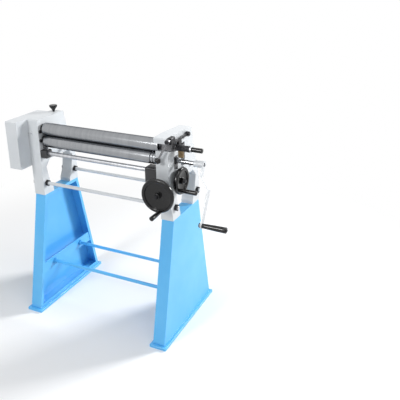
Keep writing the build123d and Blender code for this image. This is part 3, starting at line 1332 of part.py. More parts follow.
PIVOT_HEAD = 17.0
PIVOT_HEAD_HEIGHT = 6.0
with BuildPart() as latch_pivot:
    pivot_plane = along_x(RIGHT_OUTER, LATCH_PIVOT_Y, LATCH_BAR_Z)
    rod(pivot_plane.offset(-PIVOT_DEPTH), LATCH_PIVOT_DIAMETER, PIVOT_DEPTH + BAR_OFFSET)
    rod(pivot_plane, PIVOT_HEAD, BAR_OFFSET - GRIP_CLEARANCE)
    head_start = BAR_OFFSET + LATCH_BAR_THICKNESS + GRIP_CLEARANCE
    rod(pivot_plane, LATCH_PIVOT_DIAMETER, head_start)
    rod(pivot_plane.offset(head_start), PIVOT_HEAD, PIVOT_HEAD_HEIGHT)
    chamfer(latch_pivot.faces().sort_by(Axis.X)[-1].edges(), length=FINE_EDGE)
save(latch_pivot, "latch_pivot_pin")

HEAD_FRONT = -168.0
HEAD_WIDTH = 20.0
HEAD_BOTTOM = 936.0
HEAD_TOP = 963.0
HEAD_GAP = 1.0
HEAD_CORNER = 4.0
HEAD_X = RIGHT_OUTER + HEAD_GAP
LEVER_X = HEAD_X + HEAD_WIDTH / 2
LEVER_HUB_THICKNESS = 12.0
LEVER_GAP = 0.4
LEVER_BALL_SEAT = 9.0
LEVER_CAP_HEIGHT = 5.0
lever_back = LEVER_PLANE_Y + LEVER_HUB_THICKNESS / 2
lever_front = LEVER_PLANE_Y - LEVER_HUB_THICKNESS / 2
with BuildPart() as latch_head:
    with BuildSketch(along_y(LEVER_X, LATCH_BAR_FRONT, (HEAD_BOTTOM + HEAD_TOP) / 2)):
        RectangleRounded(HEAD_WIDTH, HEAD_TOP - HEAD_BOTTOM, HEAD_CORNER)
    extrude(amount=LATCH_BAR_FRONT - HEAD_FRONT)
    shoulder = HEAD_FRONT - lever_back - LEVER_GAP
    pin_length = HEAD_FRONT - lever_front + LEVER_GAP
    rod(along_y(LEVER_X, HEAD_FRONT, LEVER_PIVOT_Z), PIVOT_HEAD, shoulder)
    rod(along_y(LEVER_X, HEAD_FRONT, LEVER_PIVOT_Z), LEVER_PIN_DIAMETER, pin_length)
    rod(along_y(LEVER_X, lever_front - LEVER_GAP, LEVER_PIVOT_Z), PIVOT_HEAD, LEVER_CAP_HEIGHT)
    chamfer(latch_head.faces().sort_by(Axis.Y)[0].edges(), length=FINE_EDGE)
save(latch_head, "latch_head")

LEVER_AXIS = (-sin(radians(LEVER_ANGLE)), 0, -cos(radians(LEVER_ANGLE)))
lever_plane = Plane(origin=(LEVER_X, LEVER_PLANE_Y, LEVER_PIVOT_Z), z_dir=LEVER_AXIS)
with BuildPart() as lever:
    rod(along_y(LEVER_X, lever_back, LEVER_PIVOT_Z), LEVER_HUB_DIAMETER, LEVER_HUB_THICKNESS)
    chamfer(lever.edges().filter_by(GeomType.CIRCLE), length=FINE_EDGE)
    rod_length = LEVER_LENGTH - LEVER_BALL_DIAMETER / 2 + LEVER_BALL_SEAT
    rod(lever_plane, LEVER_ROD_DIAMETER, rod_length)
    bore(
        along_y(LEVER_X, lever_back, LEVER_PIVOT_Z),
        LEVER_PIN_DIAMETER + 2 * SHAFT_CLEARANCE,
        LEVER_HUB_THICKNESS,
    )
save(lever, "latch_lever")

with BuildPart() as lever_ball:
    with Locations(lever_plane.offset(LEVER_LENGTH)):
        Sphere(LEVER_BALL_DIAMETER / 2)
    bore(
        lever_plane.offset(LEVER_LENGTH - LEVER_BALL_DIAMETER),
        LEVER_ROD_DIAMETER + 2 * THREAD_CLEARANCE,
        LEVER_BALL_DIAMETER / 2 + LEVER_BALL_SEAT,
    )
save(lever_ball, "latch_lever_ball")

# ================================================================ left housing's small parts

with BuildPart() as face_bolts:
    for z in FACE_BOLT_Z:
        bolt_plane = along_x(LEFT_INNER, FACE_BOLT_Y, z)
        rod(bolt_plane.offset(-BOLT_GRIP), BOLT_DIAMETER, BOLT_GRIP)
        with BuildSketch(bolt_plane):
            RegularPolygon(radius=BOLT_HEAD / 2, side_count=6, major_radius=False)
        extrude(amount=BOLT_HEAD_HEIGHT)
save(face_bolts, "left_face_bolts")

KNOB_FOOT = 13.0
KNOB_NECK = 5.0
KNOB_RIM = 8.0
KNOB_DEPTH = 22.0
with BuildPart() as knob:
    knob_seat = Plane(origin=(LEFT_X, KNOB_Y, HOUSING_TOP))
    rod(knob_seat.offset(-KNOB_DEPTH), KNOB_STEM_DIAMETER, KNOB_DEPTH + KNOB_STEM_HEIGHT)
    knob_side = Plane(
        origin=(LEFT_X, KNOB_Y, HOUSING_TOP + KNOB_STEM_HEIGHT),
        x_dir=(1, 0, 0),
        z_dir=(0, -1, 0),
    )
    with BuildSketch(knob_side):
        with BuildLine():
            Polyline(
                (0, 0),
                (KNOB_FOOT / 2, 0),
                (KNOB_FOOT / 2, KNOB_NECK),
                (KNOB_DIAMETER / 2, KNOB_HEIGHT - KNOB_RIM),
                (KNOB_DIAMETER / 2, KNOB_HEIGHT),
                (0, KNOB_HEIGHT),
                close=True,
            )
        make_face()
    revolve(axis=Axis(knob_side.origin, (0, 0, 1)))
    chamfer(knob.faces().sort_by(Axis.Z)[-1].edges(), length=BROKEN_EDGE)
save(knob, "top_knob")
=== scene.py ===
from math import cos, pi, radians, sin

import bpy
from mathutils import Matrix, Vector


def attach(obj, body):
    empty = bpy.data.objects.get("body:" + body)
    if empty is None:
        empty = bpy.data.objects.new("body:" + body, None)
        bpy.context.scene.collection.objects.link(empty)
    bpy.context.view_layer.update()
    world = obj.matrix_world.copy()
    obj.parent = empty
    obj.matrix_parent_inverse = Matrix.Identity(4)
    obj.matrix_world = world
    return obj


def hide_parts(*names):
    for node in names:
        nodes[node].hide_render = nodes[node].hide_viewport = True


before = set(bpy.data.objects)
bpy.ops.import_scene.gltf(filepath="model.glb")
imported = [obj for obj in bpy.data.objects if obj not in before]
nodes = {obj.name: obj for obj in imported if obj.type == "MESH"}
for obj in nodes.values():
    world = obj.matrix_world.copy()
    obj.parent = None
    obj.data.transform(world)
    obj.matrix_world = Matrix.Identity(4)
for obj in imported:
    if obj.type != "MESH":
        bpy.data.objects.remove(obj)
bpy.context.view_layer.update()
bpy.ops.object.select_all(action="DESELECT")

# ---------------------------------------------------------------- camera
# The camera stands a little right of the machine's front, above its top, and
# looks slightly down. Its frame is moved down on the sensor, as in a cropped
# photograph, so the stands' edges stay nearly upright.
CAMERA_PLACE = (1.7382, -2.0265, 1.6392)
CAMERA_AZIMUTH = 25.08
CAMERA_PITCH = 18.992
CAMERA_ROLL = -0.538
FOCAL_PIXELS = 554.56
FRAME_PIXELS = 400
SENSOR = 36.0
SHIFT_DOWN = -0.125

camera_data = bpy.data.cameras.new("camera")
camera_data.sensor_width = SENSOR
camera_data.lens = FOCAL_PIXELS / FRAME_PIXELS * SENSOR
camera_data.shift_y = SHIFT_DOWN
camera_data.clip_end = 60.0
camera = bpy.data.objects.new("camera", camera_data)
bpy.context.scene.collection.objects.link(camera)
turn = Matrix.Rotation(radians(CAMERA_AZIMUTH), 4, "Z")
tilt = Matrix.Rotation(radians(90.0 - CAMERA_PITCH), 4, "X")
lean = Matrix.Rotation(radians(CAMERA_ROLL), 4, "Z")
camera.matrix_world = Matrix.Translation(CAMERA_PLACE) @ turn @ tilt @ lean
bpy.context.scene.camera = camera
bpy.context.scene.view_settings.view_transform = "Standard"

# ---------------------------------------------------------------- floor and light
# A white studio. The floor keeps the machine's soft shadow near its feet and
# runs out into plain white around it; the room is a dim, slightly cool white.
FLOOR_WIDTH = 24.0
FLOOR_COLOUR = (0.90, 0.90, 0.90, 1.0)
FLOOR_MIDDLE = (0.346, 0.0, 0.0)
SHADOW_REACH = (0.75, 1.9)
ROOM_COLOUR = (0.94, 0.97, 1.0, 1.0)
ROOM_STRENGTH = 0.34
WHITE = (1.0, 1.0, 1.0, 1.0)

bpy.ops.mesh.primitive_plane_add(size=FLOOR_WIDTH)
floor = bpy.context.object
floor.name = "floor"


def seen_directly(tree):
    """1 for what the camera, a mirror or a window sees, 0 for scattered light."""
    paths = tree.nodes.new("ShaderNodeLightPath")
    mirror = tree.nodes.new("ShaderNodeMath")
    mirror.operation = "MAXIMUM"
    tree.links.new(paths.outputs["Is Glossy Ray"], mirror.inputs[0])
    tree.links.new(paths.outputs["Is Transmission Ray"], mirror.inputs[1])
    seen = tree.nodes.new("ShaderNodeMath")
    seen.operation = "MAXIMUM"
    tree.links.new(paths.outputs["Is Camera Ray"], seen.inputs[0])
    tree.links.new(mirror.outputs[0], seen.inputs[1])
    return seen


floor_paint = bpy.data.materials.new("floor_paint")
floor_paint.use_nodes = True
tree = floor_paint.node_tree
shade = tree.nodes["Principled BSDF"]
shade.inputs["Base Color"].default_value = FLOOR_COLOUR
shade.inputs["Roughness"].default_value = 0.9
shade.inputs["Specular IOR Level"].default_value = 0.1
where = tree.nodes.new("ShaderNodeTexCoord")
distance = tree.nodes.new("ShaderNodeVectorMath")
distance.operation = "DISTANCE"
distance.inputs[1].default_value = FLOOR_MIDDLE
tree.links.new(where.outputs["Object"], distance.inputs[0])
fade = tree.nodes.new("ShaderNodeMapRange")
fade.interpolation_type = "SMOOTHSTEP"
fade.inputs["From Min"].default_value = SHADOW_REACH[0]
fade.inputs["From Max"].default_value = SHADOW_REACH[1]
tree.links.new(distance.outputs["Value"], fade.inputs["Value"])
seen = seen_directly(tree)
share = tree.nodes.new("ShaderNodeMath")
share.operation = "MULTIPLY"
tree.links.new(fade.outputs["Result"], share.inputs[0])
tree.links.new(seen.outputs[0], share.inputs[1])
white = tree.nodes.new("ShaderNodeEmission")
white.inputs["Color"].default_value = WHITE
white.inputs["Strength"].default_value = 1.0
choose = tree.nodes.new("ShaderNodeMixShader")
tree.links.new(share.outputs[0], choose.inputs["Fac"])
tree.links.new(shade.outputs["BSDF"], choose.inputs[1])
tree.links.new(white.outputs["Emission"], choose.inputs[2])
tree.links.new(choose.outputs[0], tree.nodes["Material Output"].inputs["Surface"])
floor.data.materials.append(floor_paint)

room = bpy.data.worlds.new("room")
bpy.context.scene.world = room
room.use_nodes = True
tree = room.node_tree
tree.nodes.clear()
dim = tree.nodes.new("ShaderNodeBackground")
dim.inputs["Color"].default_value = ROOM_COLOUR
dim.inputs["Strength"].default_value = ROOM_STRENGTH
white = tree.nodes.new("ShaderNodeBackground")
white.inputs["Color"].default_value = WHITE
white.inputs["Strength"].default_value = 1.0
seen = seen_directly(tree)
choose = tree.nodes.new("ShaderNodeMixShader")
tree.links.new(seen.outputs[0], choose.inputs["Fac"])
tree.links.new(dim.outputs[0], choose.inputs[1])
tree.links.new(white.outputs[0], choose.inputs[2])
world_out = tree.nodes.new("ShaderNodeOutputWorld")
tree.links.new(choose.outputs[0], world_out.inputs["Surface"])


def soft_lamp(name, place, aim, width, power):
    """A square lamp that stands at a place and looks at a point."""
    lamp = bpy.data.lights.new(name, "AREA")
    lamp.shape = "SQUARE"
    lamp.size = width
    lamp.energy = power
    holder = bpy.data.objects.new(name, lamp)
    bpy.context.scene.collection.objects.link(holder)
    look = Vector(aim) - Vector(place)
    rotation = look.to_track_quat("-Z", "Y").to_matrix().to_4x4()
    holder.matrix_world = Matrix.Translation(place) @ rotation
    return holder


soft_lamp("lamp_behind", (2.8, 2.7, 2.1), (0.40, 0.0, 0.6), 0.9, 165.0)
soft_lamp("lamp_front", (-0.42, -2.9, 2.35), (0.35, 0.0, 0.6), 0.8, 48.0)
soft_lamp("lamp_top", (0.9, -0.4, 3.2), (0.40, 0.0, 0.6), 1.4, 24.0)

# ---------------------------------------------------------------- stands
# Two folded sheet stands with welded foot plates and a flat brace across each,
# sprayed sky blue. The enamel is half glossy, faintly rippled, and paler in
# patches where it is worn.
SKY_BLUE = (0.095, 0.46, 0.86)
SKY_BLUE_WORN = (0.13, 0.51, 0.88)
COAT_WEIGHT = 0.25
COAT_ROUGHNESS = 0.12


def noise(tree, scale, detail, stretch=(1.0, 1.0, 1.0)):
    """Noise over the piece's own object coordinates, stretched if asked."""
    place = tree.nodes.new("ShaderNodeTexCoord")
    mapping = tree.nodes.new("ShaderNodeMapping")
    mapping.inputs["Scale"].default_value = stretch
    tree.links.new(place.outputs["Object"], mapping.inputs["Vector"])
    pattern = tree.nodes.new("ShaderNodeTexNoise")
    pattern.inputs["Scale"].default_value = scale
    pattern.inputs["Detail"].default_value = detail
    tree.links.new(mapping.outputs["Vector"], pattern.inputs["Vector"])
    return pattern


def colour_steps(tree, pattern, low, high, start, stop):
    """A ramp that turns a pattern into a blend of two colours."""
    ramp = tree.nodes.new("ShaderNodeValToRGB")
    ramp.color_ramp.elements[0].position = start
    ramp.color_ramp.elements[0].color = (*low, 1.0)
    ramp.color_ramp.elements[1].position = stop
    ramp.color_ramp.elements[1].color = (*high, 1.0)
    tree.links.new(pattern.outputs["Fac"], ramp.inputs["Fac"])
    return ramp


def roughness_band(tree, pattern, low, high):
    """A pattern stretched to a range of roughness."""
    band = tree.nodes.new("ShaderNodeMapRange")
    band.inputs["To Min"].default_value = low
    band.inputs["To Max"].default_value = high
    tree.links.new(pattern.outputs["Fac"], band.inputs["Value"])
    return band


def relief(tree, pattern, strength, depth):
    """A shallow relief made from a pattern."""
    bump = tree.nodes.new("ShaderNodeBump")
    bump.inputs["Strength"].default_value = strength
    bump.inputs["Distance"].default_value = depth
    tree.links.new(pattern.outputs["Fac"], bump.inputs["Height"])
    return bump


def enamel(name, colour, worn, rough_low, rough_high):
    """Sprayed enamel: broad tone changes, fine ripple and uneven gloss."""
    paint = bpy.data.materials.new(name)
    paint.use_nodes = True
    tree = paint.node_tree
    shade = tree.nodes["Principled BSDF"]
    patches = noise(tree, 6.0, 5.0)
    tone = colour_steps(tree, patches, colour, worn, 0.42, 0.78)
    tree.links.new(tone.outputs["Color"], shade.inputs["Base Color"])
    smudges = noise(tree, 18.0, 8.0)
    gloss = roughness_band(tree, smudges, rough_low, rough_high)
    tree.links.new(gloss.outputs["Result"], shade.inputs["Roughness"])
    ripple = noise(tree, 160.0, 2.0)
    surface = relief(tree, ripple, 0.12, 0.001)
    tree.links.new(surface.outputs["Normal"], shade.inputs["Normal"])
    shade.inputs["Coat Weight"].default_value = COAT_WEIGHT
    shade.inputs["Coat Roughness"].default_value = COAT_ROUGHNESS
    return paint


def coat(material, *names):
    """Gives the named CAD pieces a material in all of their slots."""
    for name in names:
        mesh = nodes[name].data
        if not mesh.materials:
            mesh.materials.append(material)
        for index in range(len(mesh.materials)):
            mesh.materials[index] = material


blue_enamel = enamel("blue_enamel", SKY_BLUE, SKY_BLUE_WORN, 0.30, 0.48)
coat(blue_enamel, "left_stand", "right_stand", "foot_plates", "left_brace", "right_brace")

# ---------------------------------------------------------------- lower tie bars
# Two round bars tie the braces together, with a hexagon nut on both sides of
# each brace. They are sprayed with the stands.
coat(blue_enamel, "front_lower_tie_bar", "rear_lower_tie_bar")

NUT_FLATS = 0.027
NUT_LENGTH = 0.011
NUT_CORNER_CUT = 0.0022
LOWER_NUT_STARTS = (0.010, 0.026, 0.655, 0.671)
LOWER_BAR_PLACES = ((-0.103, 0.208), (0.103, 0.208))
SHARP_EDGE = 32.0
SMOOTH_UP_TO = 35.0
WASHER_RING = 0.0016
RING_STEP = 0.0004
FACE_SUNK = -0.0003


def faces_where(thing, test):
    """Selects, in edit mode, the faces of a piece that pass a test."""
    bpy.ops.object.mode_set(mode="EDIT")
    bpy.ops.mesh.select_mode(type="FACE")
    bpy.ops.mesh.select_all(action="DESELECT")
    bpy.ops.object.mode_set(mode="OBJECT")
    for face in thing.data.polygons:
        face.select = test(face)
    bpy.ops.object.mode_set(mode="EDIT")


def set_down(thing, place, turned_by):
    """Turns and moves a finished shape to its place, and leaves it at the origin."""
    thing.matrix_world = Matrix.Translation(place) @ turned_by
    bpy.ops.object.transform_apply(location=True, rotation=True, scale=True)


def round_edges(thing, width, steps):
    """Rounds the sharp edges and shades the rest smooth."""
    bevel = thing.modifiers.new("rounding", "BEVEL")
    bevel.width = width
    bevel.segments = steps
    bevel.limit_method = "ANGLE"
    bevel.angle_limit = radians(SHARP_EDGE)
    bpy.ops.object.modifier_apply(modifier="rounding")
    bpy.ops.object.mode_set(mode="EDIT")
    bpy.ops.mesh.select_all(action="SELECT")
    bpy.ops.mesh.remove_doubles(threshold=0.00001)
    bpy.ops.mesh.normals_make_consistent(inside=False)
    bpy.ops.object.mode_set(mode="OBJECT")
    bpy.ops.object.shade_smooth_by_angle(angle=radians(SMOOTH_UP_TO))


ALONG_X = Matrix.Rotation(radians(90.0), 4, "Y")


def hexagon_head(name, flats, length, corner_cut, sunk):
    """A hexagon nut or bolt head on the Z axis: cut corners and a turned face."""
    bpy.ops.object.select_all(action="DESELECT")
    across_corners = flats / 2 / cos(radians(30.0))
    bpy.ops.mesh.primitive_cylinder_add(vertices=6, radius=across_corners, depth=length)
    head = bpy.context.object
    head.name = name
    set_down(head, (0.0, 0.0, length / 2), Matrix.Rotation(radians(30.0), 4, "Z"))
    bpy.ops.object.mode_set(mode="EDIT")
    bpy.ops.mesh.select_mode(type="VERT")
    bpy.ops.mesh.select_all(action="SELECT")
    bpy.ops.mesh.bevel(offset=corner_cut, affect="VERTICES", segments=2)
    bpy.ops.object.mode_set(mode="OBJECT")
    faces_where(head, lambda face: abs(face.normal.z) > 0.99)
    bpy.ops.mesh.inset(thickness=WASHER_RING, depth=0.0)
    bpy.ops.mesh.inset(thickness=RING_STEP, depth=sunk)
    bpy.ops.object.mode_set(mode="OBJECT")
    round_edges(head, 0.0004, 2)
    return head


def nut_set(name, starts, places):
    """A nut copied to each start along X on each bar, joined as one piece."""
    copies = []
    for start in starts:
        for y, z in places:
            nut = hexagon_head(name, NUT_FLATS, NUT_LENGTH, NUT_CORNER_CUT, FACE_SUNK)
            set_down(nut, (start, y, z), ALONG_X)
            copies.append(nut)
    bpy.ops.object.select_all(action="DESELECT")
    for nut in copies:
        nut.select_set(True)
    bpy.context.view_layer.objects.active = copies[0]
    bpy.ops.object.join()
    copies[0].name = name
    return copies[0]


lower_nuts = nut_set("lower_bar_nuts", LOWER_NUT_STARTS, LOWER_BAR_PLACES)
lower_nuts.data.materials.append(blue_enamel)
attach(lower_nuts, "machine_frame")
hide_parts("lower_tie_bar_nuts")

# ---------------------------------------------------------------- housings
# Two cast iron housings, filled, rubbed down and sprayed pale grey, bolted on
# the stands. The folded gear cover, the crank and the upper tie bars are
# sprayed with the same paint.
PALE_GREY = (0.60, 0.625, 0.645)
PALE_GREY_WORN = (0.66, 0.68, 0.70)
grey_enamel = enamel("grey_enamel", PALE_GREY, PALE_GREY_WORN, 0.34, 0.52)
coat(grey_enamel, "left_housing", "right_housing", "gear_cover", "crank_arm", "crank_hub")
coat(grey_enamel, "front_upper_tie_bar", "rear_upper_tie_bar")

# ---------------------------------------------------------------- dark steel hardware
# Bolts, nuts, collars, the latch's bar and head and the lift handle's ribbed
# sleeve are blackened steel, matt, with bare metal showing where handled.
OXIDE = (0.022, 0.022, 0.025)
OXIDE_RUBBED = (0.060, 0.060, 0.064)


def blackened(name, colour, rubbed, rough_low, rough_high):
    """Blackened steel: cloudy, half matt, with fine grain."""
    finish = bpy.data.materials.new(name)
    finish.use_nodes = True
    tree = finish.node_tree
    shade = tree.nodes["Principled BSDF"]
    shade.inputs["Metallic"].default_value = 0.75
    clouds = noise(tree, 45.0, 6.0)
    tone = colour_steps(tree, clouds, colour, rubbed, 0.40, 0.75)
    tree.links.new(tone.outputs["Color"], shade.inputs["Base Color"])
    grain = noise(tree, 320.0, 4.0)
    gloss = roughness_band(tree, grain, rough_low, rough_high)
    tree.links.new(gloss.outputs["Result"], shade.inputs["Roughness"])
    surface = relief(tree, grain, 0.15, 0.0006)
    tree.links.new(surface.outputs["Normal"], shade.inputs["Normal"])
    return finish


black_oxide = blackened("black_oxide", OXIDE, OXIDE_RUBBED, 0.32, 0.50)
coat(black_oxide, "housing_bolts")
coat(black_oxide, "lower_roll_collars", "upper_roll_collars", "crank_shaft_collar")
coat(black_oxide, "latch_bar", "latch_head", "latch_pivot_pin", "crank_grip_pin")
coat(black_oxide, "lift_handle_ribbed_sleeve")

# The upper tie bars' nuts, and the two bolt heads on the left housing's face.
UPPER_NUT_STARTS = (-0.040, 0.029, 0.652, 0.721)
UPPER_BAR_PLACES = ((-0.1065, 0.633), (0.1065, 0.633))
upper_nuts = nut_set("upper_bar_nuts", UPPER_NUT_STARTS, UPPER_BAR_PLACES)
upper_nuts.data.materials.append(black_oxide)
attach(upper_nuts, "machine_frame")
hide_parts("upper_tie_bar_nuts")

FACE_BOLT_FLATS = 0.014
FACE_BOLT_HEAD = 0.007
FACE_BOLT_CORNER_CUT = 0.0014
FACE_BOLT_PLACES = ((0.029, -0.121, 0.848), (0.029, -0.121, 0.892))
face_bolts = []
for place in FACE_BOLT_PLACES:
    bolt = hexagon_head(
        "face_bolt", FACE_BOLT_FLATS, FACE_BOLT_HEAD, FACE_BOLT_CORNER_CUT, FACE_SUNK
    )
    set_down(bolt, place, ALONG_X)
    face_bolts.append(bolt)
bpy.ops.object.select_all(action="DESELECT")
for bolt in face_bolts:
    bolt.select_set(True)
bpy.context.view_layer.objects.active = face_bolts[0]
bpy.ops.object.join()
face_bolts[0].name = "face_bolt_heads"
face_bolts[0].data.materials.append(black_oxide)
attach(face_bolts[0], "machine_frame")
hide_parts("left_face_bolts")

# ---------------------------------------------------------------- rolls
# Three solid steel rolls, turned and ground, with fine rings round them from
# the grinding, and a film of oil that evens out their shine.
ROLL_TONE = (0.31, 0.32, 0.335)
ROLL_BRIGHT = (0.36, 0.37, 0.385)
ROLL_EDGE = (0.25, 0.25, 0.27)
RING_FINENESS = 60.0


def turned_steel(name, dull, bright, rough_low, rough_high, rings, edge=(0.7, 0.7, 0.7)):
    """Turned or ground steel: close rings round the X axis."""
    metal = bpy.data.materials.new(name)
    metal.use_nodes = True
    tree = metal.node_tree
    shade = tree.nodes["Principled BSDF"]
    shade.inputs["Metallic"].default_value = 1.0
    lines = noise(tree, rings, 6.0, (1.0, 0.03, 0.03))
    tone = colour_steps(tree, lines, dull, bright, 0.30, 0.70)
    tree.links.new(tone.outputs["Color"], shade.inputs["Base Color"])
    film = noise(tree, 9.0, 6.0)
    gloss = roughness_band(tree, film, rough_low, rough_high)
    tree.links.new(gloss.outputs["Result"], shade.inputs["Roughness"])
    shade.inputs["Specular Tint"].default_value = (*edge, 1.0)
    surface = relief(tree, lines, 0.02, 0.0001)
    tree.links.new(surface.outputs["Normal"], shade.inputs["Normal"])
    return metal


roll_steel = turned_steel(
    "roll_steel", ROLL_TONE, ROLL_BRIGHT, 0.14, 0.20, RING_FINENESS, ROLL_EDGE
)
coat(roll_steel, "lower_roll", "upper_roll", "rear_roll")

# ---------------------------------------------------------------- gears and shafts
# Cut steel gears, ground shafts, cams and lifting screws, the core of the lift
# handle, the spindles' bosses and the cover's screws: plain machined steel.
MACHINED_DULL = (0.42, 0.43, 0.45)
MACHINED_BRIGHT = (0.58, 0.59, 0.61)
machined = turned_steel("machined_steel", MACHINED_DULL, MACHINED_BRIGHT, 0.26, 0.42, 90.0)
coat(machined, "lower_roll_gear", "upper_roll_gear", "upper_gear_stub", "lift_cross_shaft")
coat(machined, "lift_cams", "rear_cross_shaft", "rear_lift_screws", "lift_handle_core")
coat(machined, "spindle_bosses", "cover_screws")

# ---------------------------------------------------------------- blocks
# Bearing blocks of machined cast iron, and the black enamelled bracket and
# gearbox that carry the lifting shaft. Their near-black colour is partly their
# own black enamel and partly painted shade, for the shadow they stand in.
IRON = (0.10, 0.10, 0.105)
IRON_RUBBED = (0.17, 0.17, 0.175)
block_iron = blackened("block_iron", IRON, IRON_RUBBED, 0.38, 0.55)
coat(block_iron, "left_lower_block", "right_lower_block", "left_rear_block")
coat(block_iron, "right_rear_block", "upper_roll_end_block")
# Painted shade: these near-black colours are partly the bracket's and gearbox's black
# enamel and partly the shadow they sit in.
CASTING_BLACK_AND_SHADE = (0.012, 0.012, 0.014)
CASTING_WORN_AND_SHADE = (0.03, 0.03, 0.033)
shaded_black_casting = enamel("shaded_black_casting", CASTING_BLACK_AND_SHADE, CASTING_WORN_AND_SHADE, 0.30, 0.50)
coat(shaded_black_casting, "left_lift_bracket", "lift_gearbox")

# ---------------------------------------------------------------- bronze
# The swinging roll's ball bushing and the lug under the lifting handle are
# cast bronze, darkened by handling.
BRONZE = (0.19, 0.135, 0.075)
BRONZE_BRIGHT = (0.32, 0.24, 0.14)
bronze = blackened("bronze", BRONZE, BRONZE_BRIGHT, 0.28, 0.45)
bronze.node_tree.nodes["Principled BSDF"].inputs["Metallic"].default_value = 1.0
coat(bronze, "upper_roll_ball_bushing", "bronze_lug")

# ---------------------------------------------------------------- moulded black pieces
# Handwheels, grips, the latch's ball and the top knob are moulded from glossy
# black phenolic resin, with a faint flow in the surface and fine dust.
RESIN = (0.004, 0.004, 0.0045)
RESIN_DUSTY = (0.013, 0.013, 0.014)


def moulded(name, colour, dusty, rough_low, rough_high):
    """Glossy moulded resin with a soft flow and a little dust."""
    resin = bpy.data.materials.new(name)
    resin.use_nodes = True
    tree = resin.node_tree
    shade = tree.nodes["Principled BSDF"]
    shade.inputs["Specular IOR Level"].default_value = 0.42
    dust = noise(tree, 60.0, 8.0)
    tone = colour_steps(tree, dust, colour, dusty, 0.50, 0.85)
    tree.links.new(tone.outputs["Color"], shade.inputs["Base Color"])
    flow = noise(tree, 14.0, 3.0)
    gloss = roughness_band(tree, flow, rough_low, rough_high)
    tree.links.new(gloss.outputs["Result"], shade.inputs["Roughness"])
    surface = relief(tree, flow, 0.08, 0.002)
    tree.links.new(surface.outputs["Normal"], shade.inputs["Normal"])
    return resin


black_resin = moulded("black_resin", RESIN, RESIN_DUSTY, 0.10, 0.20)


def turned(name, outline, sides, rounding):
    """A piece turned about Z: a disc drawn out along an outline of (radius, height)."""
    bpy.ops.object.select_all(action="DESELECT")
    radius, height = outline[0]
    bpy.ops.mesh.primitive_circle_add(vertices=sides, radius=radius, fill_type="NGON")
    piece = bpy.context.object
    piece.name = name
    set_down(piece, (0.0, 0.0, height), Matrix.Identity(4))
    bpy.ops.object.mode_set(mode="EDIT")
    bpy.ops.mesh.select_mode(type="FACE")
    bpy.ops.mesh.select_all(action="SELECT")
    for next_radius, next_height in outline[1:]:
        rise = (0.0, 0.0, next_height - height)
        bpy.ops.mesh.extrude_region_move(TRANSFORM_OT_translate={"value": rise})
        growth = next_radius / radius
        middle = (0.0, 0.0, next_height)
        bpy.ops.transform.resize(value=(growth, growth, 1.0), center_override=middle)
        radius, height = next_radius, next_height
    bpy.ops.object.mode_set(mode="OBJECT")
    round_edges(piece, rounding, 3)
    return piece


def join_to(piece, *others):
    """Joins further shapes into a piece."""
    bpy.ops.object.select_all(action="DESELECT")
    for thing in (piece, *others):
        thing.select_set(True)
    bpy.context.view_layer.objects.active = piece
    bpy.ops.object.join()
    return piece


def stand_for(piece, node, body, material):
    """Finishes a piece: its material, its body, and the CAD node it stands for."""
    piece.data.materials.append(material)
    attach(piece, body)
    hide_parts(node)


def swelling_grip(name, root, swell, length, place, turned_by):
    """A hand grip that widens in a soft curve to a flat end."""
    outline = [(root / 2 - 0.001, 0.0)]
    for step in range(10):
        share = step / 9
        radius = (root + (swell - root) * sin(share * pi / 2)) / 2
        outline.append((radius, 0.001 + share * (length - 0.001)))
    grip = turned(name, outline, 48, 0.0012)
    set_down(grip, place, turned_by)
    return grip


# ---------------------------------------------------------------- crank grip
# A moulded grip that widens to its end. It turns on a pin through the end of
# the crank's arm.
CRANK_GRIP_PLACE = (0.8963, -0.21215, 0.62963)
CRANK_GRIP_ROOT = 0.019
CRANK_GRIP_SWELL = 0.025
CRANK_GRIP_LENGTH = 0.104
crank_grip = swelling_grip(
    "crank_handle",
    CRANK_GRIP_ROOT,
    CRANK_GRIP_SWELL,
    CRANK_GRIP_LENGTH,
    CRANK_GRIP_PLACE,
    ALONG_X,
)
stand_for(crank_grip, "crank_grip", "crank_grip_body", black_resin)

# ---------------------------------------------------------------- handwheels
# Two dished wheels moulded round steel hubs, each with a revolving grip on a
# pin peened into its rim.
PIN_RADIUS = 0.004
PIN_CAP_RADIUS = 0.0055
WHEEL_GRIP_ROOT = 0.015
WHEEL_GRIP_SWELL = 0.020


def dished_wheel(name, radius, grip_length, pin_x, pin_y):
    """A wheel on Z with a thick round rim, a dished disc, a hub and its pin."""
    inner = radius - 0.016
    outline = [(0.008, -0.002), (0.014, -0.002), (0.0145, 0.003), (inner, 0.007)]
    outline += [(inner + 0.003, 0.0), (radius - 0.004, 0.0)]
    for step in range(7):
        turn = radians(-90.0 + 180.0 * step / 6)
        outline.append((radius - 0.006 + 0.006 * cos(turn), 0.010 + 0.0098 * sin(turn)))
    outline += [(inner + 0.003, 0.020), (inner, 0.0185), (inner - 0.001, 0.013)]
    outline += [(0.0145, 0.009), (0.014, 0.022), (0.008, 0.022)]
    wheel = turned(name, outline, 96, 0.0008)
    end = 0.020 + grip_length + 0.0006
    pin_outline = [(PIN_RADIUS, 0.019), (PIN_RADIUS, end), (PIN_CAP_RADIUS, end)]
    pin_outline += [(PIN_CAP_RADIUS, end + 0.0018), (PIN_RADIUS, end + 0.0025)]
    pin = turned(name + "_pin", pin_outline, 32, 0.0003)
    set_down(pin, (pin_x, pin_y, 0.0), Matrix.Identity(4))
    return join_to(wheel, pin)


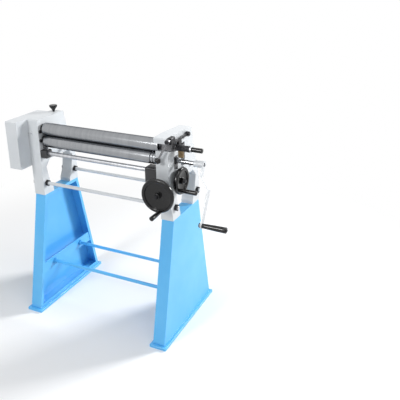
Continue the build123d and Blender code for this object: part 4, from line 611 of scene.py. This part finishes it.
FRONT_WHEEL_PLACE = (0.692, -0.195, 0.721)
FRONT_WHEEL_RADIUS = 0.075
FRONT_GRIP_LENGTH = 0.072
FRONT_PIN = (0.01393, -0.06554)
front_wheel = dished_wheel("front_wheel", FRONT_WHEEL_RADIUS, FRONT_GRIP_LENGTH, *FRONT_PIN)
TO_FRONT_UP = Matrix(((1, 0, 0, 0), (0, 0, -1, 0), (0, 1, 0, 0), (0, 0, 0, 1)))
set_down(front_wheel, FRONT_WHEEL_PLACE, TO_FRONT_UP)
stand_for(front_wheel, "front_handwheel", "front_wheel_body", black_resin)
FRONT_GRIP_PLACE = (0.70593, -0.2153, 0.65546)
front_grip = swelling_grip(
    "front_handle",
    WHEEL_GRIP_ROOT,
    WHEEL_GRIP_SWELL,
    FRONT_GRIP_LENGTH,
    FRONT_GRIP_PLACE,
    TO_FRONT_UP,
)
stand_for(front_grip, "front_wheel_grip", "front_grip_body", black_resin)

SIDE_WHEEL_PLACE = (0.735, -0.092, 0.755)
SIDE_WHEEL_RADIUS = 0.060
SIDE_GRIP_LENGTH = 0.082
SIDE_PIN = (-0.04591, -0.02441)
side_wheel = dished_wheel("side_wheel", SIDE_WHEEL_RADIUS, SIDE_GRIP_LENGTH, *SIDE_PIN)
TO_RIGHT_UP = Matrix(((0, 0, 1, 0), (1, 0, 0, 0), (0, 1, 0, 0), (0, 0, 0, 1)))
set_down(side_wheel, SIDE_WHEEL_PLACE, TO_RIGHT_UP)
stand_for(side_wheel, "side_handwheel", "side_wheel_body", black_resin)
SIDE_GRIP_PLACE = (0.7553, -0.13791, 0.73059)
side_grip = swelling_grip(
    "side_handle",
    WHEEL_GRIP_ROOT,
    WHEEL_GRIP_SWELL,
    SIDE_GRIP_LENGTH,
    SIDE_GRIP_PLACE,
    TO_RIGHT_UP,
)
stand_for(side_grip, "side_wheel_grip", "side_grip_body", black_resin)

# ---------------------------------------------------------------- lift handle's grip
# A short moulded sleeve on the end of the upper roll's lifting handle. It is
# pushed on the steel core and ends in a rounded lip.
LIFT_GRIP_PLACE = (0.796, -0.092, 0.9005)
lift_outline = [(0.0095, 0.0), (0.0105, 0.0015), (0.0102, 0.012), (0.0102, 0.036)]
lift_outline += [(0.0105, 0.0465), (0.0095, 0.048)]
lift_grip = turned("lift_grip", lift_outline, 48, 0.0006)
set_down(lift_grip, LIFT_GRIP_PLACE, ALONG_X)
stand_for(lift_grip, "lift_handle_grip", "upper_roll_swing_body", black_resin)

# ---------------------------------------------------------------- top knob
# A cone shaped knob on a steel stem, which turns in the left housing's top.
KNOB_PLACE = (0.0, 0.025, 0.950)
knob_outline = [(0.0045, -0.022), (0.0045, 0.004), (0.0065, 0.004), (0.0068, 0.009)]
knob_outline += [(0.0122, 0.0165), (0.0175, 0.0235), (0.019, 0.027), (0.019, 0.031)]
knob_outline += [(0.0178, 0.0326), (0.014, 0.033)]
top_knob = turned("cone_knob", knob_outline, 64, 0.0005)
set_down(top_knob, KNOB_PLACE, Matrix.Identity(4))
stand_for(top_knob, "top_knob", "top_knob_body", black_resin)

# ---------------------------------------------------------------- latch lever's ball
# A ball knob screwed on the lever's lower end, with a small flat round the rod.
BALL_RADIUS = 0.013
BALL_FLAT = 25.0
LEVER_LEAN = 29.0
BALL_PLACE = (0.68352, -0.181, 0.86454)
ball_outline = []
for step in range(17):
    turn = radians(-90.0 + BALL_FLAT + (180.0 - BALL_FLAT) * step / 16)
    ball_outline.append((max(BALL_RADIUS * cos(turn), 0.0008), BALL_RADIUS * sin(turn)))
lever_ball = turned("lever_ball", ball_outline, 48, 0.0003)
lean = Matrix.Rotation(radians(180.0 + LEVER_LEAN), 4, "Y")
set_down(lever_ball, BALL_PLACE, lean)
stand_for(lever_ball, "latch_lever_ball", "latch_lever_body", black_resin)

# ---------------------------------------------------------------- spindles and levers
# The wheels' spindles end in blackened caps; the latch's lever is a dark
# polished rod, and the small lock lever is plated bright.
coat(black_oxide, "front_wheel_spindle", "side_wheel_spindle")
ROD_DARK = (0.16, 0.16, 0.17)
ROD_BRIGHT = (0.24, 0.24, 0.25)
dark_rod = turned_steel("dark_rod", ROD_DARK, ROD_BRIGHT, 0.18, 0.30, RING_FINENESS)
coat(dark_rod, "latch_lever")
PLATE_DULL = (0.55, 0.56, 0.58)
PLATE_BRIGHT = (0.66, 0.67, 0.69)
plate = turned_steel("bright_plate", PLATE_DULL, PLATE_BRIGHT, 0.12, 0.22, RING_FINENESS)
coat(plate, "side_lock_lever")
